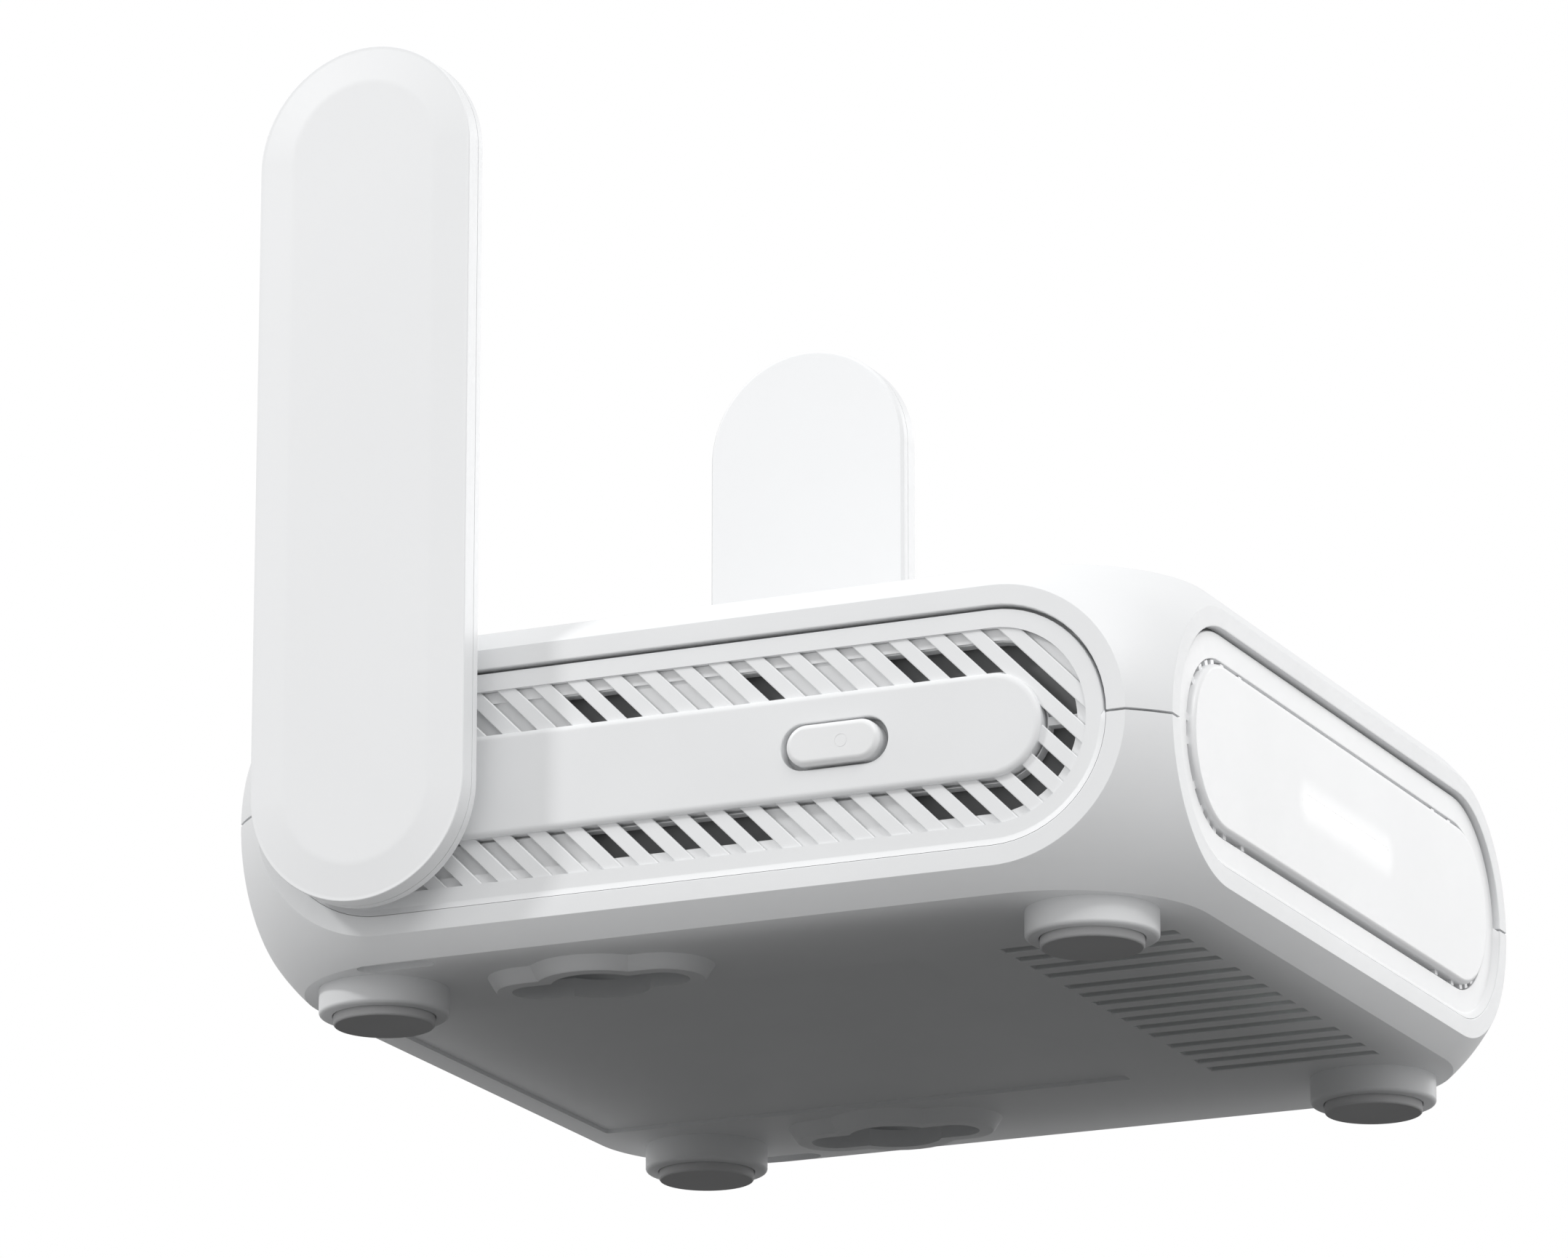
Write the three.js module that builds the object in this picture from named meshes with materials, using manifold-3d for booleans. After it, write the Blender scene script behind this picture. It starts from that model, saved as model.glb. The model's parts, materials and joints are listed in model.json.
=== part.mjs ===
// Wireless router with two fold-out paddle antennas, standing on four rubber feet.
// Millimetres, +Z up. The front faces -Y and the left side faces -X. The origin lies on the
// standing surface, below the middle of the case. The antennas stand upright at rest.

import * as THREE from 'three';
import { mergeVertices } from 'three/addons/utils/BufferGeometryUtils.js';
import Module from 'manifold-3d';

const wasm = await Module();
wasm.setup();

// ---------------------------------------------------------------- driving dimensions

const GAP = 0.3; // between pieces that touch
const PAST = 1; // how far a cutter runs past the surface that it cuts
const QUARTER = Math.PI / 2;

// Case: a square block whose edges and corners are rolled from one large ball.
const CASE_SIZE = 118;
const CASE_HEIGHT = 38.25;
const CASE_BASE = 4.35; // height of the underside above the standing surface
const CASE_WALL = 2;
const ROLL_SHARE = 0.53595; // of the height: from a side face in to the path of the ball's centre
const EDGE_MARGIN = 2.7; // from the flat rim of a side face up to the level of the top
const RIM_WIDTH = 2.38; // flat rim between the rolled edge and the opening of a side
const ROLL_STEPS = 8;
const CORNER_STEPS = 8;

// Sides of the polygons that stand for round shapes.
const ROUND_SIDES = 20;
const SMALL_SIDES = 10;
const END_DIVISIONS = 5; // half the steps round each end of a round-ended outline

// Side inserts: long round-ended plates that close the four openings of the case.
const INSERT_GAP = 0.4;
const INSERT_PLATE = 1.4;
const SIDE_RECESS = 0.4;
const FRONT_RECESS = 0.7;
const SKIRT_WALL = 0.9;
const SKIRT_DEPTH = 1.7;
const FLANGE_LIP = 1.35;
const LINER_THICKNESS = 1;

// Grilles of the left and right sides.
const GRILLE_BORDER = 2.15;
const GRILLE_SINK = 0.2;
const SLOT_PITCH = 4.507; // measured along the side
const SLOT_WIDTH = 1.45; // measured across the slot
const BAND_RADIUS = 6.1;
const BAND_PROUD = 0.5; // above the border of the grille
const BAND_ROUNDING = 0.8;
const WINDOW_INNER = 6.4;
const WINDOW_OUTER = 9.9;
const WINDOW_SPLIT = 0.5; // from mid height to the cut end of a window
// Windows of the liner, as stretches measured from the middle of the side towards the front.
const UPPER_WINDOWS = [[-15.5, -6], [7, 12.5], [24.3, CASE_SIZE]];
const LOWER_WINDOWS = [[-13, 11.2], [27, CASE_SIZE]];

// Front plate and its light.
const FRONT_OPENING_MARGIN = 3.2;
const FRONT_PLATE_GAP = 0.65;
const FRONT_PLATE_ROUNDING = 0.6;
const FRONT_FLANGE = 1.1;
const LIGHT_LENGTH = 27.4;
const LIGHT_HEIGHT = 1.75;
const LIGHT_GAP = 0.2;
const LIGHT_FLANGE_THICKNESS = 1.3;
const LIGHT_FLANGE_LIP = 1.5;
const LIGHT_ARM_WIDTH = 5;
const LIGHT_ARM_DEPTH = 6;
const LIGHT_LEG_DEPTH = 2.5;

// Feet and the screws that they hide.
const FOOT_OUTSET = 6.4; // from the ball's path out to the middle of a foot
const FOOT_RADIUS = 5.98;
const FOOT_BOSS_RADIUS = 7.7;
const FOOT_BOSS_BASE = 1.1;
const FOOT_BOSS_ROUNDING = 0.5;
const FOOT_SINK = 0.5;
const FOOT_EDGE = 0.2;
const SCREW_RADIUS = 1.5;
const SCREW_HEAD_RADIUS = 2.7;
const SCREW_HEAD_HEIGHT = 1.8;
const SCREW_LENGTH = 20;
const SCREW_POINT = 1.2;
const CROSS_WIDTH = 0.9;
const CROSS_REACH = 1.6;
const CROSS_DEPTH = 1.1;
const TOP_BOSS_RADIUS = 3.6;
const POST_RADIUS = 5.5;

// Wall-hanging keyholes, vents and label recess of the underside.
const KEYHOLE_OUTSET = 4.1; // from the ball's path out to the middle of a keyhole
const KEYHOLE_FROM_FOOT = 27.05;
const KEYHOLE_RADIUS = 5.8;
const KEYHOLE_SLOT_RADIUS = 3.1;
const KEYHOLE_HALF_LENGTH = 11.15;
const KEYHOLE_BOSS_HEIGHT = 1.7;
const KEYHOLE_FACE_LIP = 2;
const KEYHOLE_BASE_LIP = 2.9;
const KEYHOLE_LIP_THICKNESS = 2.2;
const KEYHOLE_POCKET_DEPTH = 3.6;
const KEYHOLE_CUP_WALL = 1.2;
const VENT_GROUPS = [4, 7, 4];
const VENT_GROUP_GAP = 1.6;
const VENT_WIDTH = 2.15;
const VENT_LENGTH = 21.7;
const VENT_FROM_FRONT = 8.9;
const VENT_FROM_FOOT = 5.15;
const LABEL_SINK = 0.35;
const LABEL_FROM_FOOT = 4.35;
const LABEL_FROM_REAR = 5.9;
const LABEL_FROM_VENTS = 10.5;
const NOTCH_LENGTH = 9.8;
const NOTCH_WIDTH = 3;
const NOTCH_DEPTH = 1.2;
const NOTCH_FROM_SIDE = 4.3;

// Main board and what stands on it.
const BOARD_MARGIN = 3.6;
const BOARD_THICKNESS = 1.6;
const BOARD_LIFT = 5; // from the case floor up to the board
const BOARD_CORNER = 9;
const SINK_SIZE = 44;
const SINK_PLATE = 2;
const SINK_FIN_HEIGHT = 8;
const SINK_FINS = 9;
const FIN_THICKNESS = 1.4;
const PROCESSOR_SIZE = 16;
const PROCESSOR_HEIGHT = 1.2;
const PAD_THICKNESS = 1;
const SINK_PLACE = -6; // from the middle of the board towards the rear
const MEMORY_PLACE = -30;
const MEMORY_SIZE = [11, 13, 1.1];
const SHIELD_WIDTH = 30;
const SHIELD_HEIGHT = 2.6;
const SHIELD_FROM_SINK = 2;
const SHIELD_FROM_JACKS = 3.3;
const LED_SIZE = [3.4, 2.4, 1];

// Ports of the rear, named by their places along the side.
const ETHERNET_WIDTH = 16;
const ETHERNET_HEIGHT = 13.4;
const ETHERNET_DEPTH = 21;
const ETHERNET_PITCH = 20;
const PLUG_WIDTH = 12;
const PLUG_HEIGHT = 8.6;
const PLUG_DEPTH = 13;
const PLUG_SILL = 3.4; // from the foot of the jack up to the plug's opening
const LATCH_WIDTH = 6.2;
const LATCH_DROP = 2.2;
const USB_WIDTH = 13.2;
const USB_HEIGHT = 5.9;
const USB_DEPTH = 14;
const USB_WALL = 0.4;
const USB_BACK_WALL = 1.5;
const USB_TONGUE_WIDTH = 11;
const USB_TONGUE_THICKNESS = 1.9;
const USB_TONGUE_DROP = 0.5; // from the roof of the mouth down to the tongue
const USB_TONGUE_SETBACK = 1.5;
const POWER_WIDTH = 9;
const POWER_HEIGHT = 3.3;
const POWER_DEPTH = 7.4;
const POWER_WALL = 0.35;
const POWER_BACK_WALL = 1;
const POWER_TONGUE_WIDTH = 6.4;
const POWER_TONGUE_THICKNESS = 0.7;
const POWER_PLACE = -36;
const RESET_PLACE = 34;
const RESET_LEVEL = 2.6; // above the foot of the ports
const RESET_RADIUS = 2;
const RESET_PROUD = 0.3;
const RESET_LIP = 0.9;
const PORT_SETBACK = 0.3; // from the rear insert's face in to the mouth of a port

// Mode button of the left side, and the switches behind both buttons.
const MODE_PLACE = 19.25; // from the middle of the side towards the front
const MODE_LENGTH = 11.6;
const MODE_HEIGHT = 4.9;
const MODE_POCKET_LENGTH = 13.3;
const MODE_POCKET_HEIGHT = 5.5;
const MODE_PROUD = 0.8;
const MODE_ROUNDING = 0.6;
const MODE_LIP = 1.1;
const PRESS_TRAVEL = 0.8;
const BUTTON_FLANGE = 0.7;
const BUTTON_STEM_LENGTH = 2.6;
const STEM_RADIUS = 1.2;
const STEM_SIDES = 8;
const SWITCH_WIDTH = 6;
const SWITCH_DEPTH = 3.4;
const SWITCH_HEADROOM = 3; // above the plunger's axis
const PLUNGER_LENGTH = 0.6;

// Antennas and their hinges.
const ANTENNA_EXTRA = 0.15; // antenna's half width past the side insert's
const ANTENNA_GAP = 2.35; // from the side face out to the antenna
const ANTENNA_CHAMFER = 0.4;
const ANTENNA_INNER_DEPTH = 1.65;
const ANTENNA_OUTER_DEPTH = 2.1;
const ANTENNA_CROWN = 0.4;
const ANTENNA_CROWN_WIDTH = 4.8;
const ANTENNA_WALL = 1.2;
const ANTENNA_EDGE_ROUNDING = 0.15;
const HUB_RADIUS = 8.2;
const SHAFT_RADIUS = 4.6;
const SHAFT_GAP = 0.25;
const SHAFT_BORE = 1.5;
const SPIGOT_RADIUS = 3.6;
const WASHER_THICKNESS = 0.7;
const CLIP_THICKNESS = 0.6;
const CLIP_GROOVE = 0.6;
const CLIP_SLACK = 0.1;
const CLIP_LIP = 2;
const CLIP_MOUTH = 4.4;
const SHAFT_TAIL = 0.9; // past the clip
const SHAFT_CHAMFER = 0.4;
const CABLE_RADIUS = 0.6;
const CABLE_STEPS = 12;
const CABLE_SIDES = 6;
const SOCKET_RADIUS = 1.6;
const SOCKET_HEIGHT = 1.4;
const SOCKET_OUTSET = 5.5; // from the ball's path out to a socket
const SOCKET_PLACE = 22;
const RADIATOR_RADIUS = 9;
const RADIATOR_THICKNESS = 0.8;

// ---------------------------------------------------------------- derived places

const FACE = CASE_SIZE / 2;
const ROLL_INSET = ROLL_SHARE * CASE_HEIGHT;
const CASE_TOP = CASE_BASE + CASE_HEIGHT;
const MID_Z = CASE_BASE + CASE_HEIGHT / 2;
const REACH = FACE - ROLL_INSET;
const RIM_RADIUS = CASE_HEIGHT / 2 - EDGE_MARGIN;
const ROLL_RADIUS = Math.hypot(ROLL_INSET, RIM_RADIUS);
const OPENING_RADIUS = RIM_RADIUS - RIM_WIDTH;
const INSERT_RADIUS = OPENING_RADIUS - INSERT_GAP;
const FLOOR = CASE_BASE + CASE_WALL;
const CEILING = CASE_TOP - CASE_WALL;

const SIDE_FACE = FACE - SIDE_RECESS;
const FRONT_FACE = FACE - FRONT_RECESS;
const FLANGE_FRONT = FACE - CASE_WALL - GAP;
const FLANGE_BACK = SIDE_FACE - INSERT_PLATE - SKIRT_DEPTH + 0.1;
const LINER_RADIUS = INSERT_RADIUS - SKIRT_WALL - GAP;
const LINER_FRONT = SIDE_FACE - INSERT_PLATE - GAP;
const LINER_BACK = LINER_FRONT - LINER_THICKNESS;

const FOOT_PLACE = REACH + FOOT_OUTSET;
const BOARD_LOW = FLOOR + BOARD_LIFT;
const BOARD_TOP = BOARD_LOW + BOARD_THICKNESS;
const ON_BOARD = BOARD_TOP + GAP;
const BOARD_HALF = FLANGE_BACK - BOARD_MARGIN;

const ANTENNA_RADIUS = INSERT_RADIUS + ANTENNA_EXTRA;
const ANTENNA_SPAN = 2 * REACH; // between the centres of an antenna's round ends
const ANTENNA_BACK = FACE + ANTENNA_GAP;
const ANTENNA_SEAM = ANTENNA_BACK + ANTENNA_INNER_DEPTH;
const ANTENNA_EDGE = ANTENNA_SEAM + GAP + ANTENNA_OUTER_DEPTH;
const ANTENNA_FACE = ANTENNA_EDGE + ANTENNA_CROWN;
const BAND_FACE = SIDE_FACE + BAND_PROUD;
const HUB_SEAT = LINER_FRONT - GAP;

// ---------------------------------------------------------------- finishes

const finishes = {
  shell: { color: '#eceef0', roughness: 0.45, metalness: 0 },
  front: { color: '#f4f5f6', roughness: 0.4, metalness: 0 },
  light: { color: '#ffffff', roughness: 0.3, metalness: 0 },
  rubber: { color: '#b9babc', roughness: 0.85, metalness: 0 },
  board: { color: '#1d5a38', roughness: 0.55, metalness: 0 },
  chip: { color: '#232427', roughness: 0.6, metalness: 0 },
  pad: { color: '#8fa3b8', roughness: 0.9, metalness: 0 },
  aluminium: { color: '#b4b7ba', roughness: 0.35, metalness: 1 },
  steel: { color: '#c3c5c7', roughness: 0.3, metalness: 1 },
  port: { color: '#2a2b2e', roughness: 0.5, metalness: 0 },
  cable: { color: '#3a3b3e', roughness: 0.6, metalness: 0 },
};

// ---------------------------------------------------------------- solid helpers

function solid(geometry) {
  const bare = geometry.clone();
  bare.deleteAttribute('normal');
  bare.deleteAttribute('uv');
  const merged = mergeVertices(bare, 1e-4);
  const corners = merged.index.array;
  const triangles = [];
  for (let i = 0; i < corners.length; i += 3) {
    const [a, b, c] = [corners[i], corners[i + 1], corners[i + 2]];
    if (a !== b && b !== c && c !== a) {
      triangles.push(a, b, c);
    }
  }
  const vertProperties = new Float32Array(merged.attributes.position.array);
  const triVerts = new Uint32Array(triangles);
  return new wasm.Manifold(new wasm.Mesh({ numProp: 3, vertProperties, triVerts }));
}

function join(pieces) {
  return pieces.reduce((whole, piece) => whole.add(piece));
}

function geometryOf(shape) {
  const { vertProperties, triVerts } = shape.getMesh();
  const geometry = new THREE.BufferGeometry();
  geometry.setAttribute('position', new THREE.BufferAttribute(vertProperties, 3));
  geometry.setIndex(new THREE.BufferAttribute(triVerts, 1));
  geometry.computeVertexNormals();
  return geometry;
}

function addPiece(group, name, shape, finish) {
  const material = new THREE.MeshStandardMaterial(finishes[finish]);
  const mesh = new THREE.Mesh(geometryOf(shape), material);
  mesh.name = name;
  group.add(mesh);
}

function block(low, high) {
  const size = new THREE.Vector3(...high).sub(new THREE.Vector3(...low));
  const geometry = new THREE.BoxGeometry(size.x, size.y, size.z);
  geometry.translate(low[0] + size.x / 2, low[1] + size.y / 2, low[2] + size.z / 2);
  return geometry;
}

function disc(x, y, radius, low, high, segments = ROUND_SIDES) {
  const geometry = new THREE.CylinderGeometry(radius, radius, high - low, segments);
  geometry.rotateX(QUARTER);
  geometry.translate(x, y, (low + high) / 2);
  return geometry;
}

// Profile points are [radius, height], from the bottom out, up and back to the start or the axis.
function turned(profile, segments = ROUND_SIDES) {
  const geometry = new THREE.LatheGeometry(profile.map(([r, h]) => new THREE.Vector2(r, h)), segments);
  geometry.rotateX(QUARTER);
  return geometry;
}

function prism(shape, low, high, curveSegments = END_DIVISIONS) {
  const options = { depth: high - low, bevelEnabled: false, curveSegments };
  const geometry = new THREE.ExtrudeGeometry(shape, options);
  geometry.translate(0, 0, low);
  return geometry;
}

function tube(points, radius, steps, sides) {
  const section = new THREE.Shape();
  for (let i = 0; i < sides; i++) {
    const angle = (i / sides) * 2 * Math.PI;
    const corner = [radius * Math.cos(angle), radius * Math.sin(angle)];
    if (i === 0) {
      section.moveTo(...corner);
    } else {
      section.lineTo(...corner);
    }
  }
  const path = new THREE.CatmullRomCurve3(points.map((point) => new THREE.Vector3(...point)));
  return new THREE.ExtrudeGeometry(section, { steps, extrudePath: path });
}

// Round-ended outline about the straight line between two points.
function capsule(startX, startY, endX, endY, radius) {
  const heading = Math.atan2(endY - startY, endX - startX);
  const shape = new THREE.Shape();
  shape.absarc(endX, endY, radius, heading - QUARTER, heading + QUARTER, false);
  shape.absarc(startX, startY, radius, heading + QUARTER, heading + 3 * QUARTER, false);
  return shape;
}

function stadium(radius) {
  return capsule(-REACH, 0, REACH, 0, radius);
}

function roundedRectangle(halfX, halfY, radius) {
  const shape = new THREE.Shape();
  const corners = [[1, 1], [-1, 1], [-1, -1], [1, -1]];
  corners.forEach(([signX, signY], turn) => {
    const x = signX * (halfX - radius);
    const y = signY * (halfY - radius);
    shape.absarc(x, y, radius, turn * QUARTER, (turn + 1) * QUARTER, false);
  });
  return shape;
}

// Solid through matching convex outlines: sections are [shape, height], rising.
function loft(sections, divisions) {
  const outlines = sections.map(([shape]) => shape.getPoints(divisions));
  const count = outlines[0].length;
  const positions = [];
  const indices = [];
  outlines.forEach((outline, level) => {
    outline.forEach((point) => positions.push(point.x, point.y, sections[level][1]));
  });
  const top = (sections.length - 1) * count;
  for (let low = 0; low < top; low += count) {
    for (let i = 0; i < count; i++) {
      const next = (i + 1) % count;
      const high = low + count;
      indices.push(low + i, low + next, high + next, low + i, high + next, high + i);
    }
  }
  for (let i = 1; i < count - 1; i++) {
    indices.push(0, i + 1, i, top, top + i, top + i + 1);
  }
  const geometry = new THREE.BufferGeometry();
  geometry.setAttribute('position', new THREE.Float32BufferAttribute(positions, 3));
  geometry.setIndex(indices);
  return geometry;
}

// ---------------------------------------------------------------- groups

// Each side has its own frame: x along the side, y up from mid height, z out from the middle.
function sideGroup(quarterTurns) {
  const group = new THREE.Group();
  group.position.z = MID_Z;
  group.rotation.set(QUARTER, 0, quarterTurns * QUARTER, 'ZYX');
  group.updateMatrix();
  return group;
}

const router = new THREE.Group();
const front = sideGroup(0);
const right = sideGroup(1);
const rear = sideGroup(2);
const left = sideGroup(3);
const allSides = [front, right, rear, left];
router.add(...allSides);

// The two long sides: frontward is the sign of x that points to the front of the router.
const longSides = [
  { name: 'left', group: left, frontward: 1, signX: -1 },
  { name: 'right', group: right, frontward: -1, signX: 1 },
];

const footPlaces = [
  { name: 'front_left', x: -FOOT_PLACE, y: -FOOT_PLACE },
  { name: 'front_right', x: FOOT_PLACE, y: -FOOT_PLACE },
  { name: 'rear_left', x: -FOOT_PLACE, y: FOOT_PLACE },
  { name: 'rear_right', x: FOOT_PLACE, y: FOOT_PLACE },
];

// ---------------------------------------------------------------- case covers

function rolledBlock(ballRadius, halfSize, low, high) {
  const sections = [];
  const lowest = Math.asin((low - MID_Z) / ballRadius);
  const highest = Math.asin((high - MID_Z) / ballRadius);
  for (let step = 0; step <= ROLL_STEPS; step++) {
    const lift = lowest + ((highest - lowest) * step) / ROLL_STEPS;
    const cornerRadius = ballRadius * Math.cos(lift);
    const half = REACH + cornerRadius;
    const height = MID_Z + ballRadius * Math.sin(lift);
    sections.push([roundedRectangle(half, half, cornerRadius), height]);
  }
  const trim = block([-halfSize, -halfSize, low - PAST], [halfSize, halfSize, high + PAST]);
  return solid(loft(sections, CORNER_STEPS / 2)).intersect(solid(trim));
}

function openCaseShell() {
  const outside = rolledBlock(ROLL_RADIUS, FACE, CASE_BASE, CASE_TOP);
  const inside = rolledBlock(ROLL_RADIUS - CASE_WALL, FACE - CASE_WALL, FLOOR, CEILING);
  const openings = allSides.map((side) => {
    const cutter = prism(stadium(OPENING_RADIUS), FACE - CASE_WALL - PAST, FACE + PAST);
    return solid(cutter.applyMatrix4(side.matrix));
  });
  return outside.subtract(inside).subtract(join(openings));
}

function slab(low, high) {
  return solid(block([-CASE_SIZE, -CASE_SIZE, low], [CASE_SIZE, CASE_SIZE, high]));
}

const caseShell = openCaseShell();

function topCover() {
  const cover = caseShell.intersect(slab(MID_Z + GAP / 2, CASE_TOP + PAST));
  const bossBase = BOARD_LOW;
  const pilotTop = FOOT_BOSS_BASE + FOOT_SINK + GAP + SCREW_LENGTH + PAST;
  const bosses = footPlaces.map(({ x, y }) => {
    return solid(disc(x, y, TOP_BOSS_RADIUS, bossBase, CEILING + GAP, SMALL_SIDES));
  });
  const pilots = footPlaces.map(({ x, y }) => {
    return solid(disc(x, y, SCREW_RADIUS + GAP, bossBase - PAST, pilotTop, SMALL_SIDES));
  });
  return cover.add(join(bosses)).subtract(join(pilots));
}

function footBossProfile() {
  const profile = [[0, FOOT_BOSS_BASE]];
  const inner = FOOT_BOSS_RADIUS - FOOT_BOSS_ROUNDING;
  for (let step = 0; step <= 2; step++) {
    const angle = (step / 2) * QUARTER;
    const radius = inner + FOOT_BOSS_ROUNDING * Math.sin(angle);
    const height = FOOT_BOSS_BASE + FOOT_BOSS_ROUNDING * (1 - Math.cos(angle));
    profile.push([radius, height]);
  }
  profile.push([FOOT_BOSS_RADIUS, CASE_BASE + GAP], [0, CASE_BASE + GAP]);
  return profile;
}

function footMaterial() {
  return footPlaces.flatMap(({ x, y }) => {
    const boss = turned(footBossProfile()).translate(x, y, 0);
    const post = disc(x, y, POST_RADIUS, CASE_BASE + GAP, BOARD_LOW - GAP, SMALL_SIDES);
    return [solid(boss), solid(post)];
  });
}

function footHoles() {
  const seat = FOOT_BOSS_BASE + FOOT_SINK;
  const headTop = seat + SCREW_HEAD_HEIGHT + 2 * GAP;
  return footPlaces.flatMap(({ x, y }) => [
    solid(disc(x, y, FOOT_RADIUS + GAP, FOOT_BOSS_BASE - PAST, seat)),
    solid(disc(x, y, SCREW_HEAD_RADIUS + GAP, seat - GAP, headTop, SMALL_SIDES)),
    solid(disc(x, y, SCREW_RADIUS + GAP, seat, BOARD_LOW, SMALL_SIDES)),
  ]);
}

const keyholePlaces = [-1, 1].map((sign) => ({
  x: sign * (REACH + KEYHOLE_OUTSET),
  y: FOOT_PLACE - KEYHOLE_FROM_FOOT,
}));
const keyholeFace = CASE_BASE - KEYHOLE_BOSS_HEIGHT;
const keyholeRoof = keyholeFace + KEYHOLE_LIP_THICKNESS + KEYHOLE_POCKET_DEPTH;

function upright(x, y, halfLength, radius) {
  const run = halfLength - radius;
  return capsule(x, y - run, x, y + run, radius);
}

function keyholeMaterial() {
  return keyholePlaces.flatMap(({ x, y }) => {
    const collar = (radius, halfLength) => {
      const face = upright(x, y, halfLength + KEYHOLE_FACE_LIP, radius + KEYHOLE_FACE_LIP);
      const base = upright(x, y, halfLength + KEYHOLE_BASE_LIP, radius + KEYHOLE_BASE_LIP);
      return solid(loft([[face, keyholeFace], [base, CASE_BASE], [base, FLOOR - GAP]], END_DIVISIONS));
    };
    const cupHalfLength = KEYHOLE_HALF_LENGTH + KEYHOLE_CUP_WALL;
    const cup = upright(x, y, cupHalfLength, KEYHOLE_RADIUS + KEYHOLE_CUP_WALL);
    const cupTop = keyholeRoof + KEYHOLE_CUP_WALL;
    return [
      collar(KEYHOLE_SLOT_RADIUS, KEYHOLE_HALF_LENGTH),
      collar(KEYHOLE_RADIUS, KEYHOLE_RADIUS + 0.01),
      solid(prism(cup, FLOOR - GAP, cupTop, 4)),
    ];
  });
}

function keyholeHoles() {
  const lipTop = keyholeFace + KEYHOLE_LIP_THICKNESS;
  return keyholePlaces.flatMap(({ x, y }) => {
    const slot = upright(x, y, KEYHOLE_HALF_LENGTH, KEYHOLE_SLOT_RADIUS);
    const pocket = upright(x, y, KEYHOLE_HALF_LENGTH, KEYHOLE_RADIUS);
    return [
      solid(prism(slot, keyholeFace - PAST, keyholeRoof, 4)),
      solid(disc(x, y, KEYHOLE_RADIUS, keyholeFace - PAST, keyholeRoof)),
      solid(prism(pocket, lipTop, keyholeRoof, 4)),
    ];
  });
}

const ventRear = VENT_FROM_FRONT + VENT_LENGTH - FACE;

function floorVents() {
  const total = VENT_GROUPS.reduce((sum, count) => sum + count);
  const halfSpan = FOOT_PLACE - FOOT_BOSS_RADIUS - VENT_FROM_FOOT;
  const gaps = VENT_GROUPS.length - 1;
  const pitch = (2 * halfSpan - gaps * VENT_GROUP_GAP) / (total - 1);
  const vents = [];
  let x = -halfSpan;
  for (const count of VENT_GROUPS) {
    for (let i = 0; i < count; i++) {
      const near = [x - VENT_WIDTH / 2, ventRear - VENT_LENGTH, CASE_BASE - PAST];
      const far = [x + VENT_WIDTH / 2, ventRear, FLOOR + PAST];
      vents.push(solid(block(near, far)));
      x += pitch;
    }
    x += VENT_GROUP_GAP;
  }
  return vents;
}

function floorRecesses() {
  const half = FOOT_PLACE - FOOT_BOSS_RADIUS - LABEL_FROM_FOOT;
  const frontEdge = ventRear + LABEL_FROM_VENTS;
  const rearEdge = FACE - LABEL_FROM_REAR;
  const label = block([-half, frontEdge, CASE_BASE - PAST], [half, rearEdge, CASE_BASE + LABEL_SINK]);
  const notches = [-1, 1].map((sign) => {
    const x = sign * (FACE - NOTCH_FROM_SIDE);
    const outline = upright(x, REACH, NOTCH_LENGTH / 2, NOTCH_WIDTH / 2);
    return solid(prism(outline, CASE_BASE - PAST, CASE_BASE + NOTCH_DEPTH, 2));
  });
  return [solid(label), ...notches];
}

function bottomCover() {
  const tray = caseShell.intersect(slab(CASE_BASE - PAST, MID_Z - GAP / 2));
  const added = join([...footMaterial(), ...keyholeMaterial()]);
  const removed = join([...footHoles(), ...keyholeHoles(), ...floorVents(), ...floorRecesses()]);
  return tray.add(added).subtract(removed);
}

addPiece(router, 'top_cover', topCover(), 'shell');
addPiece(router, 'bottom_cover', bottomCover(), 'shell');

// ---------------------------------------------------------------- feet and case screws

function footPad() {
  const top = FOOT_BOSS_BASE + FOOT_SINK - GAP;
  return turned([
    [0, 0],
    [FOOT_RADIUS - FOOT_EDGE, 0],
    [FOOT_RADIUS, FOOT_EDGE],
    [FOOT_RADIUS, top],
    [0, top],
  ]);
}

function caseScrew() {
  const base = FOOT_BOSS_BASE + FOOT_SINK + GAP;
  const shoulder = base + SCREW_HEAD_HEIGHT;
  const tip = base + SCREW_LENGTH;
  const profile = [
    [0, base],
    [SCREW_HEAD_RADIUS, base],
    [SCREW_HEAD_RADIUS, shoulder],
    [SCREW_RADIUS, shoulder],
    [SCREW_RADIUS, tip - SCREW_POINT],
    [0, tip],
  ];
  const half = CROSS_WIDTH / 2;
  const deep = base + CROSS_DEPTH;
  const cross = join([
    solid(block([-CROSS_REACH, -half, base - PAST], [CROSS_REACH, half, deep])),
    solid(block([-half, -CROSS_REACH, base - PAST], [half, CROSS_REACH, deep])),
  ]);
  return solid(turned(profile, SMALL_SIDES)).subtract(cross);
}

for (const { name, x, y } of footPlaces) {
  const corner = new THREE.Group();
  corner.position.set(x, y, 0);
  router.add(corner);
  addPiece(corner, `foot_pad_${name}`, solid(footPad()), 'rubber');
  addPiece(corner, `case_screw_${name}`, caseScrew(), 'steel');
}

// ---------------------------------------------------------------- side inserts

// Round-ended plate with a skirt behind it and a flange that hooks behind the case wall.
function insert(faceHeight, plate) {
  const body = solid(prism(stadium(INSERT_RADIUS), FLANGE_BACK, faceHeight));
  const flange = solid(prism(stadium(OPENING_RADIUS + FLANGE_LIP), FLANGE_BACK, FLANGE_FRONT));
  const hollow = prism(stadium(INSERT_RADIUS - SKIRT_WALL), FLANGE_BACK - PAST, faceHeight - plate);
  return body.add(flange).subtract(solid(hollow));
}

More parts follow.
